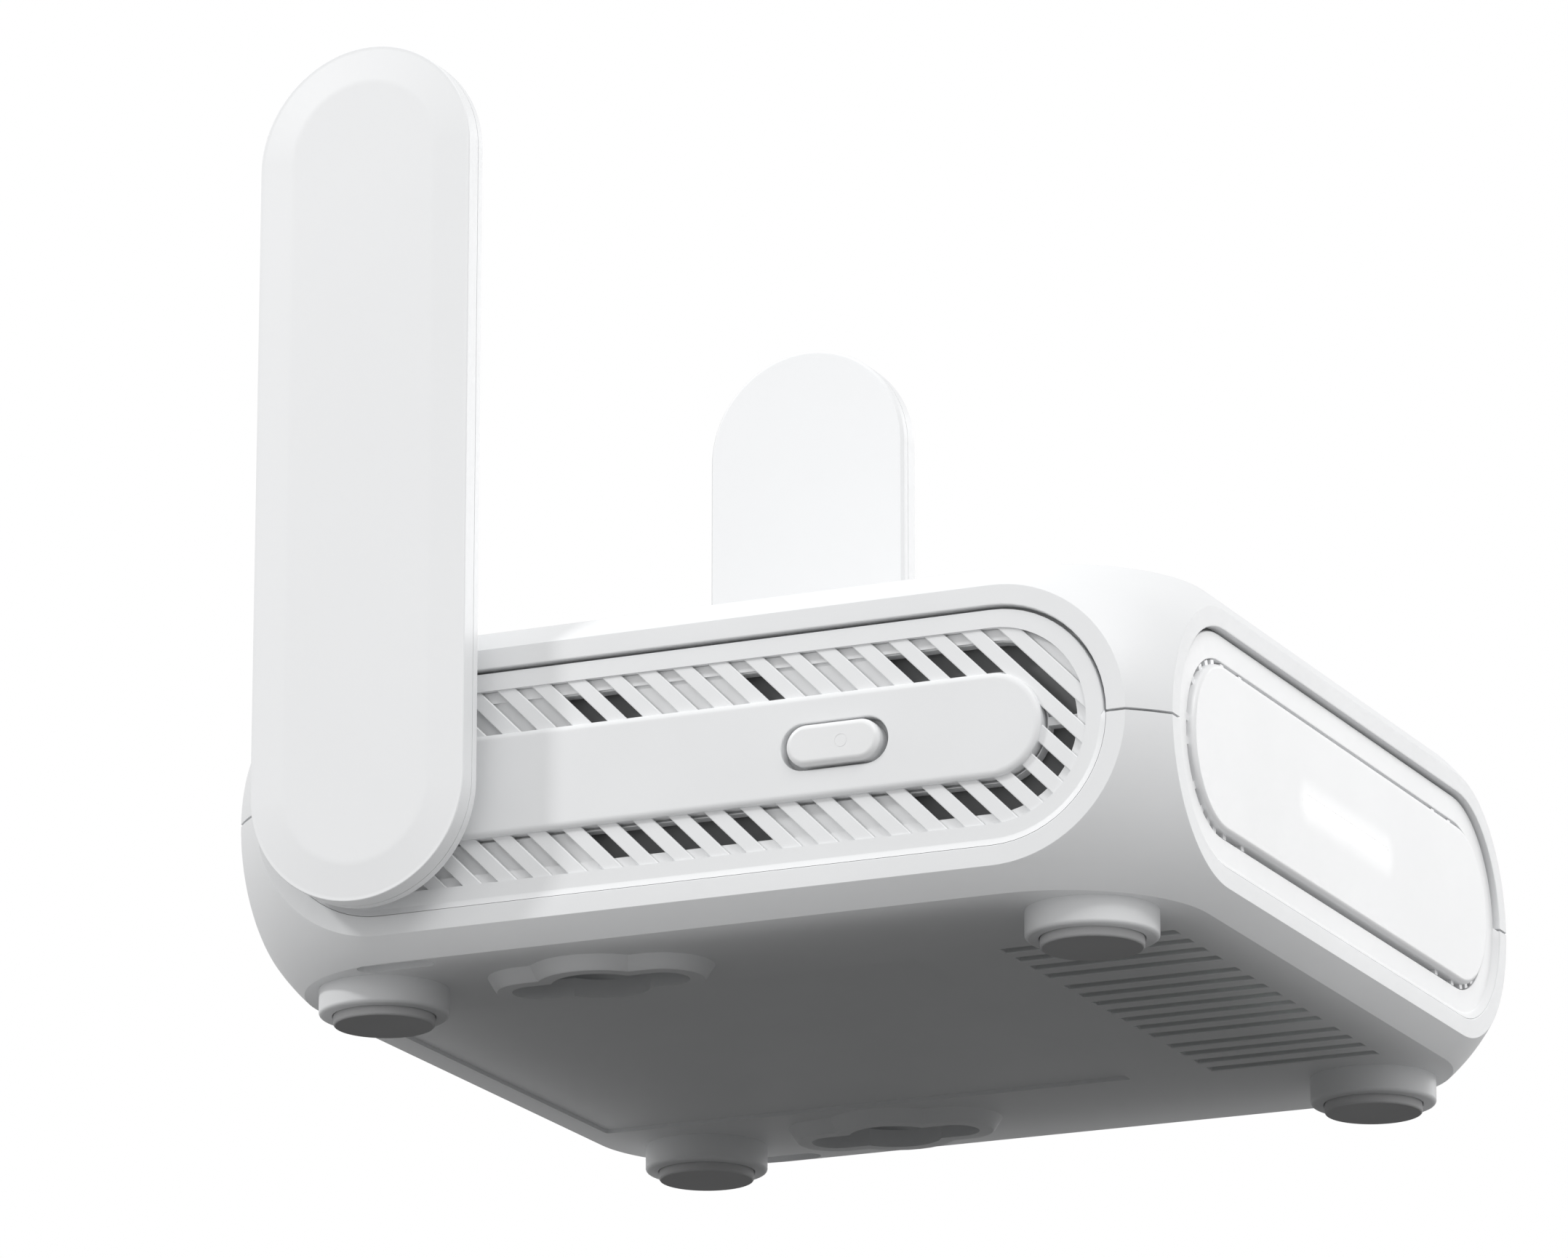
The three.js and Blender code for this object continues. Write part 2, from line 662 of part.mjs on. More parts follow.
function roundedBand(radius, low, high, rounding) {
  const sections = [[stadium(radius), low]];
  for (let step = 0; step <= 2; step++) {
    const angle = (step / 2) * QUARTER;
    const inset = rounding * (1 - Math.cos(angle));
    const height = high - rounding * 0.6 * (1 - Math.sin(angle));
    sections.push([stadium(radius - inset), height]);
  }
  return solid(loft(sections, END_DIVISIONS));
}

function grilleSlots(side) {
  const border = INSERT_RADIUS - GRILLE_BORDER;
  const low = SIDE_FACE - INSERT_PLATE - PAST;
  const high = SIDE_FACE + PAST;
  const zone = solid(prism(stadium(border), low, high))
    .subtract(solid(prism(stadium(BAND_RADIUS), low - PAST, high + PAST)))
    .subtract(solid(disc(-side.frontward * REACH, 0, HUB_RADIUS + PAST, low - PAST, high + PAST)));
  const count = Math.ceil((REACH + 1.5 * border) / SLOT_PITCH);
  const slots = [];
  for (let i = -count; i <= count; i++) {
    const slot = new THREE.BoxGeometry(4 * border, SLOT_WIDTH, high - low);
    slot.rotateZ(-side.frontward * QUARTER / 2);
    slot.translate(side.frontward * i * SLOT_PITCH, 0, (low + high) / 2);
    slots.push(solid(slot));
  }
  return zone.intersect(join(slots));
}

function modePocket(grow) {
  const half = MODE_POCKET_LENGTH / 2 + grow;
  const radius = MODE_POCKET_HEIGHT / 2 + grow;
  const run = half - radius;
  return capsule(MODE_PLACE - run, 0, MODE_PLACE + run, 0, radius);
}

function sideGrille(side) {
  const border = INSERT_RADIUS - GRILLE_BORDER;
  const hingeX = -side.frontward * REACH;
  const plateBack = SIDE_FACE - INSERT_PLATE;
  const sunk = solid(prism(stadium(border), SIDE_FACE - GRILLE_SINK, SIDE_FACE + PAST));
  const band = roundedBand(BAND_RADIUS, plateBack, BAND_FACE, BAND_ROUNDING);
  const seat = solid(disc(hingeX, 0, HUB_RADIUS, HUB_SEAT, plateBack + GAP));
  const hole = solid(disc(hingeX, 0, SHAFT_RADIUS + SHAFT_GAP, HUB_SEAT - PAST, BAND_FACE + PAST));
  let grille = insert(SIDE_FACE, INSERT_PLATE)
    .subtract(sunk)
    .add(band)
    .add(seat)
    .subtract(grilleSlots(side))
    .subtract(hole);
  if (side.name === 'left') {
    grille = grille.subtract(solid(prism(modePocket(0), plateBack - PAST, BAND_FACE + PAST, 4)));
  }
  return grille;
}

// White backing behind the ribs, open where air passes.
function ventLiner(side) {
  const low = LINER_BACK - PAST;
  const high = LINER_FRONT + PAST;
  const ring = solid(prism(stadium(WINDOW_OUTER), low, high))
    .subtract(solid(prism(stadium(WINDOW_INNER), low - PAST, high + PAST)));
  const cutWindow = ([from, to], bottom, top) => {
    const ends = [from * side.frontward, to * side.frontward].sort((a, b) => a - b);
    return ring.intersect(solid(block([ends[0], bottom, low - PAST], [ends[1], top, high + PAST])));
  };
  const windows = [
    ...UPPER_WINDOWS.map((stretch) => cutWindow(stretch, WINDOW_SPLIT, FACE)),
    ...LOWER_WINDOWS.map((stretch) => cutWindow(stretch, -FACE, -WINDOW_SPLIT)),
  ];
  const hinge = solid(disc(-side.frontward * REACH, 0, HUB_RADIUS + GAP, low, high));
  let liner = solid(prism(stadium(LINER_RADIUS), LINER_BACK, LINER_FRONT))
    .subtract(join(windows))
    .subtract(hinge);
  if (side.name === 'left') {
    liner = liner.subtract(solid(prism(modePocket(1), low, high, 4)));
  }
  return liner;
}

for (const side of longSides) {
  addPiece(side.group, `${side.name}_grille`, sideGrille(side), 'shell');
  addPiece(side.group, `${side.name}_vent_liner`, ventLiner(side), 'shell');
}

// ---------------------------------------------------------------- front

const frontOpening = INSERT_RADIUS - FRONT_OPENING_MARGIN;
const frontPlateBack = LINER_FRONT + 0.1;

function frontBezel() {
  const opening = prism(stadium(frontOpening), FLANGE_BACK - PAST, FACE + PAST);
  return insert(FRONT_FACE, 1).subtract(solid(opening));
}

function frontPlate() {
  const radius = frontOpening - FRONT_PLATE_GAP;
  const flange = prism(stadium(LINER_RADIUS), frontPlateBack - FRONT_FLANGE, frontPlateBack);
  const slot = block(
    [-LIGHT_LENGTH / 2, -LIGHT_HEIGHT / 2, LINER_BACK - PAST],
    [LIGHT_LENGTH / 2, LIGHT_HEIGHT / 2, FACE + PAST],
  );
  return roundedBand(radius, frontPlateBack - GAP, FACE, FRONT_PLATE_ROUNDING)
    .add(solid(flange))
    .subtract(solid(slot));
}

function lightBar() {
  const halfLength = LIGHT_LENGTH / 2 - LIGHT_GAP;
  const halfHeight = LIGHT_HEIGHT / 2 - LIGHT_GAP;
  const flangeFront = frontPlateBack - FRONT_FLANGE - GAP;
  const flangeBack = flangeFront - LIGHT_FLANGE_THICKNESS;
  const flangeHalf = halfLength + LIGHT_FLANGE_LIP;
  const armBack = flangeBack - LIGHT_ARM_DEPTH;
  const legFoot = ON_BOARD + LED_SIZE[2] + GAP - MID_Z;
  const arm = LIGHT_ARM_WIDTH / 2;
  return join([
    solid(block([-halfLength, -halfHeight, flangeBack], [halfLength, halfHeight, FACE - LIGHT_GAP])),
    solid(block([-flangeHalf, -arm, flangeBack], [flangeHalf, arm, flangeFront])),
    solid(block([-arm, -arm, armBack], [arm, arm, flangeFront])),
    solid(block([-arm, legFoot, armBack], [arm, arm, armBack + LIGHT_LEG_DEPTH])),
  ]);
}

addPiece(front, 'front_bezel', frontBezel(), 'front');
addPiece(front, 'front_plate', frontPlate(), 'front');
addPiece(front, 'light_bar', lightBar(), 'light');

// ---------------------------------------------------------------- main board

function mainBoard() {
  const outline = roundedRectangle(BOARD_HALF, BOARD_HALF, BOARD_CORNER);
  const holes = footPlaces.map(({ x, y }) => {
    return solid(disc(x, y, TOP_BOSS_RADIUS + 2 * GAP, BOARD_LOW - PAST, BOARD_TOP + PAST, SMALL_SIDES));
  });
  return solid(prism(outline, BOARD_LOW, BOARD_TOP, 2)).subtract(join(holes));
}

function centred(x, y, [width, depth, height], low) {
  return block([x - width / 2, y - depth / 2, low], [x + width / 2, y + depth / 2, low + height]);
}

const padLow = ON_BOARD + PROCESSOR_HEIGHT + GAP;
const sinkLow = padLow + PAD_THICKNESS + GAP;

function heatSink() {
  const pitch = (SINK_SIZE - FIN_THICKNESS) / (SINK_FINS - 1);
  const pieces = [solid(centred(0, SINK_PLACE, [SINK_SIZE, SINK_SIZE, SINK_PLATE], sinkLow))];
  const finSize = [FIN_THICKNESS, SINK_SIZE, SINK_PLATE + SINK_FIN_HEIGHT];
  for (let i = 0; i < SINK_FINS; i++) {
    const x = (i - (SINK_FINS - 1) / 2) * pitch;
    pieces.push(solid(centred(x, SINK_PLACE, finSize, sinkLow)));
  }
  return join(pieces);
}

const processor = [PROCESSOR_SIZE, PROCESSOR_SIZE, PROCESSOR_HEIGHT];
const portMouth = SIDE_FACE - PORT_SETBACK;
const shieldFront = SINK_PLACE + SINK_SIZE / 2 + SHIELD_FROM_SINK;
const shieldRear = portMouth - ETHERNET_DEPTH - SHIELD_FROM_JACKS;
const shieldPlace = (shieldFront + shieldRear) / 2;
const shield = [SHIELD_WIDTH, shieldRear - shieldFront, SHIELD_HEIGHT];
const pad = [PROCESSOR_SIZE - PAST, PROCESSOR_SIZE - PAST, PAD_THICKNESS];
const lightLegBack = frontPlateBack - FRONT_FLANGE - GAP - LIGHT_FLANGE_THICKNESS - LIGHT_ARM_DEPTH;
const ledPlace = -lightLegBack - LIGHT_LEG_DEPTH / 2;

addPiece(router, 'main_board', mainBoard(), 'board');
addPiece(router, 'processor', solid(centred(0, SINK_PLACE, processor, ON_BOARD)), 'chip');
addPiece(router, 'thermal_pad', solid(centred(0, SINK_PLACE, pad, padLow)), 'pad');
addPiece(router, 'heat_sink', heatSink(), 'aluminium');
addPiece(router, 'memory_chip', solid(centred(MEMORY_PLACE, SINK_PLACE, MEMORY_SIZE, ON_BOARD)), 'chip');
addPiece(router, 'radio_shield', solid(centred(0, shieldPlace, shield, ON_BOARD)), 'steel');
addPiece(router, 'status_led', solid(centred(0, ledPlace, LED_SIZE, ON_BOARD)), 'light');

// ---------------------------------------------------------------- rear ports

// Places are in the rear side's frame. Every port stands on the board.
const portFloor = ON_BOARD - MID_Z;
const usbPlace = ETHERNET_PITCH;
const resetLevel = portFloor + RESET_LEVEL;
const powerLevel = portFloor + POWER_HEIGHT / 2;

const ethernetPorts = [
  { name: 'wan_jack', place: -ETHERNET_PITCH },
  { name: 'lan_jack', place: 0 },
];

function ethernetJack(place) {
  const half = ETHERNET_WIDTH / 2;
  const top = portFloor + ETHERNET_HEIGHT;
  const body = block([place - half, portFloor, portMouth - ETHERNET_DEPTH], [place + half, top, portMouth]);
  const plugHalf = PLUG_WIDTH / 2;
  const plugLow = portFloor + PLUG_SILL;
  const plugTop = plugLow + PLUG_HEIGHT;
  const depth = portMouth - PLUG_DEPTH;
  const plug = block([place - plugHalf, plugLow, depth], [place + plugHalf, plugTop, portMouth + PAST]);
  const latchHalf = LATCH_WIDTH / 2;
  const latch = block(
    [place - latchHalf, plugLow - LATCH_DROP, depth],
    [place + latchHalf, plugLow + GAP, portMouth + PAST],
  );
  return solid(body).subtract(solid(plug)).subtract(solid(latch));
}

function usbJack() {
  const half = USB_WIDTH / 2;
  const top = portFloor + USB_HEIGHT;
  const inner = half - USB_WALL;
  const back = portMouth - USB_DEPTH;
  const body = block([usbPlace - half, portFloor, back], [usbPlace + half, top, portMouth]);
  const mouth = block(
    [usbPlace - inner, portFloor + USB_WALL, back + USB_BACK_WALL],
    [usbPlace + inner, top - USB_WALL, portMouth + PAST],
  );
  const tongueHalf = USB_TONGUE_WIDTH / 2;
  const tongueTop = top - USB_WALL - USB_TONGUE_DROP;
  const tongue = block(
    [usbPlace - tongueHalf, tongueTop - USB_TONGUE_THICKNESS, back + USB_BACK_WALL - GAP],
    [usbPlace + tongueHalf, tongueTop, portMouth - USB_TONGUE_SETBACK],
  );
  return solid(body).subtract(solid(mouth)).add(solid(tongue));
}

function flatCapsule(place, level, width, height) {
  const run = (width - height) / 2;
  return capsule(place - run, level, place + run, level, height / 2);
}

function powerJack() {
  const back = portMouth - POWER_DEPTH;
  const floor = back + POWER_BACK_WALL;
  const walls = 2 * POWER_WALL;
  const outside = flatCapsule(POWER_PLACE, powerLevel, POWER_WIDTH, POWER_HEIGHT);
  const mouth = flatCapsule(POWER_PLACE, powerLevel, POWER_WIDTH - walls, POWER_HEIGHT - walls);
  const tongueHalf = POWER_TONGUE_WIDTH / 2;
  const rise = POWER_TONGUE_THICKNESS / 2;
  const tongue = block(
    [POWER_PLACE - tongueHalf, powerLevel - rise, floor - GAP],
    [POWER_PLACE + tongueHalf, powerLevel + rise, portMouth - PAST],
  );
  return solid(prism(outside, back, portMouth, 3))
    .subtract(solid(prism(mouth, floor, portMouth + PAST, 3)))
    .add(solid(tongue));
}

function rearPanel() {
  const low = FLANGE_BACK - PAST;
  const high = SIDE_FACE + PAST;
  const cuts = ethernetPorts.map(({ place }) => {
    const half = ETHERNET_WIDTH / 2 + GAP;
    const top = portFloor + ETHERNET_HEIGHT + GAP;
    return solid(block([place - half, portFloor - GAP, low], [place + half, top, high]));
  });
  const usbHalf = USB_WIDTH / 2 + GAP;
  const usbTop = portFloor + USB_HEIGHT + GAP;
  cuts.push(solid(block([usbPlace - usbHalf, portFloor - GAP, low], [usbPlace + usbHalf, usbTop, high])));
  const power = flatCapsule(POWER_PLACE, powerLevel, POWER_WIDTH + 2 * GAP, POWER_HEIGHT + 2 * GAP);
  cuts.push(solid(prism(power, low, high, 3)));
  cuts.push(solid(disc(RESET_PLACE, resetLevel, RESET_RADIUS + GAP, low, high, SMALL_SIDES)));
  return insert(SIDE_FACE, INSERT_PLATE).subtract(join(cuts));
}

addPiece(rear, 'rear_panel', rearPanel(), 'shell');
for (const { name, place } of ethernetPorts) {
  addPiece(rear, name, ethernetJack(place), 'port');
}
addPiece(rear, 'usb_jack', usbJack(), 'steel');
addPiece(rear, 'power_jack', powerJack(), 'steel');

// ---------------------------------------------------------------- buttons

const buttonFlangeTop = LINER_FRONT;
const buttonFlangeBack = LINER_FRONT - BUTTON_FLANGE;
const stemEnd = buttonFlangeBack - BUTTON_STEM_LENGTH;
const switchFront = stemEnd - PRESS_TRAVEL - GAP;

function modeButton() {
  const run = (MODE_LENGTH - MODE_HEIGHT) / 2;
  const outline = (grow) => {
    return capsule(MODE_PLACE - run, 0, MODE_PLACE + run, 0, MODE_HEIGHT / 2 + grow);
  };
  const top = BAND_FACE + MODE_PROUD;
  const halfway = MODE_ROUNDING * (1 - Math.SQRT1_2);
  const cap = loft([
    [outline(0), buttonFlangeBack],
    [outline(0), top - MODE_ROUNDING],
    [outline(-halfway), top - halfway],
    [outline(-MODE_ROUNDING), top],
  ], 4);
  return solid(cap)
    .add(solid(prism(outline(MODE_LIP), buttonFlangeBack, buttonFlangeTop, 4)))
    .add(solid(disc(MODE_PLACE, 0, STEM_RADIUS, stemEnd, buttonFlangeBack + GAP, STEM_SIDES)));
}

function resetButton() {
  const top = SIDE_FACE + RESET_PROUD;
  const cap = turned([
    [0, stemEnd],
    [STEM_RADIUS, stemEnd],
    [STEM_RADIUS, buttonFlangeBack],
    [RESET_RADIUS + RESET_LIP, buttonFlangeBack],
    [RESET_RADIUS + RESET_LIP, buttonFlangeTop],
    [RESET_RADIUS, buttonFlangeTop],
    [RESET_RADIUS, top - RESET_PROUD],
    [RESET_RADIUS - RESET_PROUD, top],
    [0, top],
  ], SMALL_SIDES);
  return solid(cap.translate(RESET_PLACE, resetLevel, 0));
}

function pressSwitch(place, level) {
  const half = SWITCH_WIDTH / 2;
  const back = switchFront - SWITCH_DEPTH;
  const body = block(
    [place - half, portFloor, back],
    [place + half, level + SWITCH_HEADROOM, switchFront - PLUNGER_LENGTH],
  );
  const plunger = disc(place, level, STEM_RADIUS, back + PAST, switchFront, STEM_SIDES);
  return solid(body).add(solid(plunger));
}

addPiece(left, 'mode_button', modeButton(), 'shell');
addPiece(left, 'mode_switch', pressSwitch(MODE_PLACE, 0), 'port');
addPiece(rear, 'reset_button', resetButton(), 'port');
addPiece(rear, 'reset_switch', pressSwitch(RESET_PLACE, resetLevel), 'port');

// ---------------------------------------------------------------- antennas

// In an antenna's own frame the hinge axis is z, out from the case, and y runs up the antenna.
function paddle(radius) {
  return capsule(0, 0, 0, ANTENNA_SPAN, radius);
}

function antennaOuterShell() {
  const low = ANTENNA_SEAM + GAP;
  const edge = ANTENNA_EDGE_ROUNDING;
  const outside = loft([
    [paddle(ANTENNA_RADIUS), low],
    [paddle(ANTENNA_RADIUS), ANTENNA_EDGE - edge],
    [paddle(ANTENNA_RADIUS - edge), ANTENNA_EDGE],
    [paddle(ANTENNA_RADIUS - ANTENNA_CROWN_WIDTH), ANTENNA_FACE],
  ], 8);
  const hollow = prism(paddle(ANTENNA_RADIUS - ANTENNA_WALL), low - PAST, ANTENNA_FACE - ANTENNA_WALL);
  return solid(outside).subtract(solid(hollow));
}

function antennaInnerShell() {
  const outside = loft([
    [paddle(ANTENNA_RADIUS - ANTENNA_CHAMFER), ANTENNA_BACK],
    [paddle(ANTENNA_RADIUS), ANTENNA_BACK + ANTENNA_CHAMFER],
    [paddle(ANTENNA_RADIUS), ANTENNA_SEAM],
  ], 8);
  const floor = ANTENNA_BACK + ANTENNA_WALL;
  const hollow = prism(paddle(ANTENNA_RADIUS - ANTENNA_WALL), floor, ANTENNA_SEAM + PAST);
  const hole = disc(0, 0, SPIGOT_RADIUS + GAP, ANTENNA_BACK - PAST, ANTENNA_SEAM, SMALL_SIDES);
  return solid(outside).subtract(solid(hollow)).subtract(solid(hole));
}

const washerTop = HUB_SEAT - GAP;
const clipTop = washerTop - WASHER_THICKNESS - GAP;
const shaftEnd = clipTop - CLIP_THICKNESS - SHAFT_TAIL;
const spigotEnd = ANTENNA_BACK + ANTENNA_WALL + GAP;

function antennaHub() {
  const grooveRadius = SHAFT_RADIUS - CLIP_GROOVE;
  const grooveLow = clipTop - CLIP_THICKNESS - CLIP_SLACK;
  const grooveHigh = clipTop + CLIP_SLACK;
  return solid(turned([
    [SHAFT_BORE, shaftEnd],
    [SHAFT_RADIUS - SHAFT_CHAMFER, shaftEnd],
    [SHAFT_RADIUS, shaftEnd + SHAFT_CHAMFER],
    [SHAFT_RADIUS, grooveLow],
    [grooveRadius, grooveLow],
    [grooveRadius, grooveHigh],
    [SHAFT_RADIUS, grooveHigh],
    [SHAFT_RADIUS, BAND_FACE + GAP],
    [HUB_RADIUS, BAND_FACE + GAP],
    [HUB_RADIUS, ANTENNA_BACK - GAP],
    [SPIGOT_RADIUS, ANTENNA_BACK - GAP],
    [SPIGOT_RADIUS, spigotEnd],
    [SHAFT_BORE, spigotEnd],
    [SHAFT_BORE, shaftEnd],
  ]));
}

function ring(inner, outer, low, high) {
  return solid(turned([[inner, low], [outer, low], [outer, high], [inner, high], [inner, low]]));
}

function hingeClip() {
  const inner = SHAFT_RADIUS - CLIP_GROOVE + GAP / 2;
  const low = clipTop - CLIP_THICKNESS;
  const half = CLIP_MOUTH / 2;
  const mouth = block([-half, -HUB_RADIUS, low - PAST], [half, 0, clipTop + PAST]);
  return ring(inner, SHAFT_RADIUS + CLIP_LIP, low, clipTop).subtract(solid(mouth));
}

function radiator() {
  const low = ANTENNA_BACK + ANTENNA_WALL + 2 * GAP;
  const outline = capsule(0, 2.5 * RADIATOR_RADIUS, 0, ANTENNA_SPAN - GAP, RADIATOR_RADIUS);
  return solid(prism(outline, low, low + RADIATOR_THICKNESS, 3));
}

// Inner lead that turns with the antenna: along the hub's bore, then up to the radiator.
function pigtail() {
  const level = spigotEnd + CABLE_RADIUS + GAP / 2;
  const end = 1.5 * RADIATOR_RADIUS - GAP;
  const bend = 1.6;
  return solid(tube([
    [0, 0, shaftEnd + GAP],
    [0, 0, BAND_FACE],
    [0, 0, level - bend],
    [0, 0.3 * bend, level - 0.3 * bend],
    [0, bend, level],
    [0, end / 2, level],
    [0, end, level],
  ], CABLE_RADIUS, CABLE_STEPS, CABLE_SIDES));
}

for (const side of longSides) {
  const antenna = new THREE.Group();
  antenna.position.x = -side.frontward * REACH;
  side.group.add(antenna);
  addPiece(antenna, `${side.name}_antenna_outer_shell`, antennaOuterShell(), 'shell');
  addPiece(antenna, `${side.name}_antenna_inner_shell`, antennaInnerShell(), 'shell');
  addPiece(antenna, `${side.name}_antenna_radiator`, radiator(), 'board');
  addPiece(antenna, `${side.name}_antenna_pigtail`, pigtail(), 'cable');
  addPiece(antenna, `${side.name}_hinge_hub`, antennaHub(), 'shell');
  addPiece(antenna, `${side.name}_hinge_washer`,
    ring(SHAFT_RADIUS + SHAFT_GAP, HUB_RADIUS - 0.7, washerTop - WASHER_THICKNESS, washerTop), 'steel');
  addPiece(antenna, `${side.name}_hinge_clip`, hingeClip(), 'steel');
}

// ---------------------------------------------------------------- antenna leads on the board

const socketX = REACH + SOCKET_OUTSET;
const socketTop = ON_BOARD + SOCKET_HEIGHT;

function coaxLead(signX) {
  const low = socketTop + GAP;
  const rise = 2;
  const run = 4;
  return solid(tube([
    [signX * socketX, SOCKET_PLACE, low],
    [signX * socketX, SOCKET_PLACE, low + rise],
    [signX * (socketX + shaftEnd - run) / 2, (SOCKET_PLACE + REACH) / 2, (low + MID_Z) / 2 + rise / 2],
    [signX * (shaftEnd - run), REACH, MID_Z],
    [signX * (shaftEnd - GAP), REACH, MID_Z],
  ], CABLE_RADIUS, CABLE_STEPS, CABLE_SIDES));
}

for (const { name, signX } of longSides) {
  const socket = disc(signX * socketX, SOCKET_PLACE, SOCKET_RADIUS, ON_BOARD, socketTop, SMALL_SIDES);
  addPiece(router, `${name}_coax_socket`, solid(socket), 'steel');
  addPiece(router, `${name}_coax_lead`, coaxLead(signX), 'cable');
}

export default router;
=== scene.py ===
"""Wireless router with two fold-out paddle antennas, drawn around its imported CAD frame."""
import itertools
import json
import math
import bmesh
import bpy
from mathutils import Matrix, Vector


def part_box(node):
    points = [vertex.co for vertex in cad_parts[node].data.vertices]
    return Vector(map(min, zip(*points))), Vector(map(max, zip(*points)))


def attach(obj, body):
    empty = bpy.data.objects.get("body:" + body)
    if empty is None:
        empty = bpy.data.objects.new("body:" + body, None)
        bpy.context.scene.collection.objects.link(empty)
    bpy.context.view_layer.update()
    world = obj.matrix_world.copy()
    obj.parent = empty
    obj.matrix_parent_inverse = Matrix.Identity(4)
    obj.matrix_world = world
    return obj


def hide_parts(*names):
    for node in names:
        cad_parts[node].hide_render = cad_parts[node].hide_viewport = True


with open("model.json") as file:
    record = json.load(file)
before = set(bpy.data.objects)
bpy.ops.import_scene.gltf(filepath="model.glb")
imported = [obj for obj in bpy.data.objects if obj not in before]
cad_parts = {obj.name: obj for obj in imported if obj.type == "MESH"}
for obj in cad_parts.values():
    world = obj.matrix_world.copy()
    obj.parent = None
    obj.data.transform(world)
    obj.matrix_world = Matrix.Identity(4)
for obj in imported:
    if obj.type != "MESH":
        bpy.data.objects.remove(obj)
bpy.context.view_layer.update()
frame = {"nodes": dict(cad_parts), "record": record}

# ------------------------------------ sizes, in millimetres

MM = 0.001
QUARTER = math.pi / 2
PAST = 1.0  # how far a cutter runs past the surface that it cuts
SHAVE = 0.002  # a cutter's widest ring stands this much over the surface
GAP = 0.3  # between pieces that touch
CLOSE = 0.0002  # points nearer than this are one point


def box_mm(node):
    low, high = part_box(node)
    return Vector(low) / MM, Vector(high) / MM


joints = {joint["name"]: joint for joint in frame["record"]["behaviour"]["joints"]}
hinge_place = [value / MM for value in joints["left_antenna_hinge"]["pos_m"]]

# Case
FACE = box_mm("top_cover")[1].x
TOP = box_mm("top_cover")[1].z
REACH = hinge_place[1]  # half the straight run of every round-ended outline
MID = hinge_place[2]
HALF_HEIGHT = TOP - MID
UNDERSIDE = MID - HALF_HEIGHT
EDGE_MARGIN = 2.7
RIM_RADIUS = HALF_HEIGHT - EDGE_MARGIN
BALL = math.hypot(FACE - REACH, RIM_RADIUS)
TOP_WALL = 1.2
WALL = 2.0
SEAM = 0.3
LIP_RISE = 1.2
CREASE = 0.35
OPENING = 14.045
MOUTH_ROUNDING = 0.2

# Side inserts
INSERT = 13.645
PLATE = 1.4
SIDE_FACE = FACE - 0.4
FRONT_FACE = FACE - 0.7
FLANGE_FRONT = FACE - WALL - GAP
FLANGE_BACK = SIDE_FACE - PLATE - 1.6
FLANGE_RADIUS = OPENING + 1.35
SKIRT_WALL = 0.9
EDGE_ROUNDING = 0.15
LOWER_EDGE = OPENING - 0.015
LOWER_FILLET = 0.8
PLATE_BACK = SIDE_FACE - PLATE
LINER_FRONT = PLATE_BACK - GAP
LINER_BACK = LINER_FRONT - 1.0
LINER = INSERT - SKIRT_WALL - GAP
RIB_BACK = SIDE_FACE - 0.75
LEDGE_FACE = RIB_BACK - 0.1
BACKING_FACE = LEDGE_FACE - 0.3
# Face of the dark sheet behind the windows, which is painted shade
PAINTED_SHADE_SHEET_FACE = LINER_BACK - 0.5

# Grilles
BORDER = INSERT - 2.15
RIB_SINK = 0.2
SLOT_PITCH = 4.507
SLOT_WIDTH = 1.45
SLOT_FLARE = 0.1
BAND = 6.1
BAND_FACE = SIDE_FACE + 0.5
BAND_ROUNDING = 0.8
LEDGE = BORDER - 1.3
WINDOW_INNER = 6.5
WINDOW_OUTER = 10.0
HUB = 8.2
SHAFT_HOLE = 4.85
# Windows behind the ribs, in slots counted towards the front; they end behind a rib.
UPPER_WINDOWS = [(-1.5, 0.5), (3.5, 4.5), (7.5, 20)]
LOWER_WINDOWS = [(-4.5, 0.5), (4.5, 20)]

# Mode button
MODE_PLACE = 19.25
MODE_SIZE = (11.6, 4.9)
MODE_POCKET = (13.3, 5.5)
MODE_TOP = BAND_FACE + 0.8

# Front
FRONT_OPENING = INSERT - 3.2
FRONT_PLATE = FRONT_OPENING - 0.65
FRONT_SHELF = LINER_FRONT + 0.1
LIGHT_SLOT = (27.4, 1.75)
LIGHT_CORNER = 0.45
LIGHT_SINK = 0.08
# Painted glow round the light slot: how far it reaches and its emission strength
PAINTED_GLOW_REACH = 3.0
PAINTED_GLOW_STRENGTH = 0.13
TOOTH_WIDTH = 0.9
TOOTH_TURNS = (8, 38, 56, 68, 79)
TOOTH_PLACES = (31.8, 37.4)

# Feet, keyholes, vents and label recess
FOOT = REACH + 6.4
PAD_RADIUS = 5.98
PAD_TOP = 1.3
BOSS_RADIUS = 7.7
BOSS_BASE = 1.1
BOSS_ROUNDING = 0.5
BOSS_SEAT = 1.6
SCREW_HOLE = 1.8
SCREW_HEAD_HOLE = 3.0
KEYHOLE_X = REACH + 4.1
KEYHOLE_Y = FOOT - 27.05
KEYHOLE_FACE = UNDERSIDE - 1.7
KEYHOLE_ROUND = 5.8
KEYHOLE_SLOT = 3.1
KEYHOLE_HALF = 11.15
KEYHOLE_LIP = 2.2
KEYHOLE_ROOF = KEYHOLE_FACE + 5.8
VENT_GROUPS = [4, 7, 4]
VENT_GROUP_GAP = 1.6
VENT_WIDTH = 2.15
VENT_CORNER = 0.2
VENT_LENGTH = 21.7
VENT_MIDDLE = -FACE + 8.9 + VENT_LENGTH / 2
VENT_REACH = FOOT - BOSS_RADIUS - 5.15
LABEL_X = FOOT - BOSS_RADIUS - 4.35
LABEL_Y = (VENT_MIDDLE + VENT_LENGTH / 2 + 10.5, FACE - 5.9)
LABEL_SINK = 0.5
LABEL_CORNER = 0.4
NOTCH = (9.8, 3.0, 1.2)
NOTCH_X = FACE - 4.3

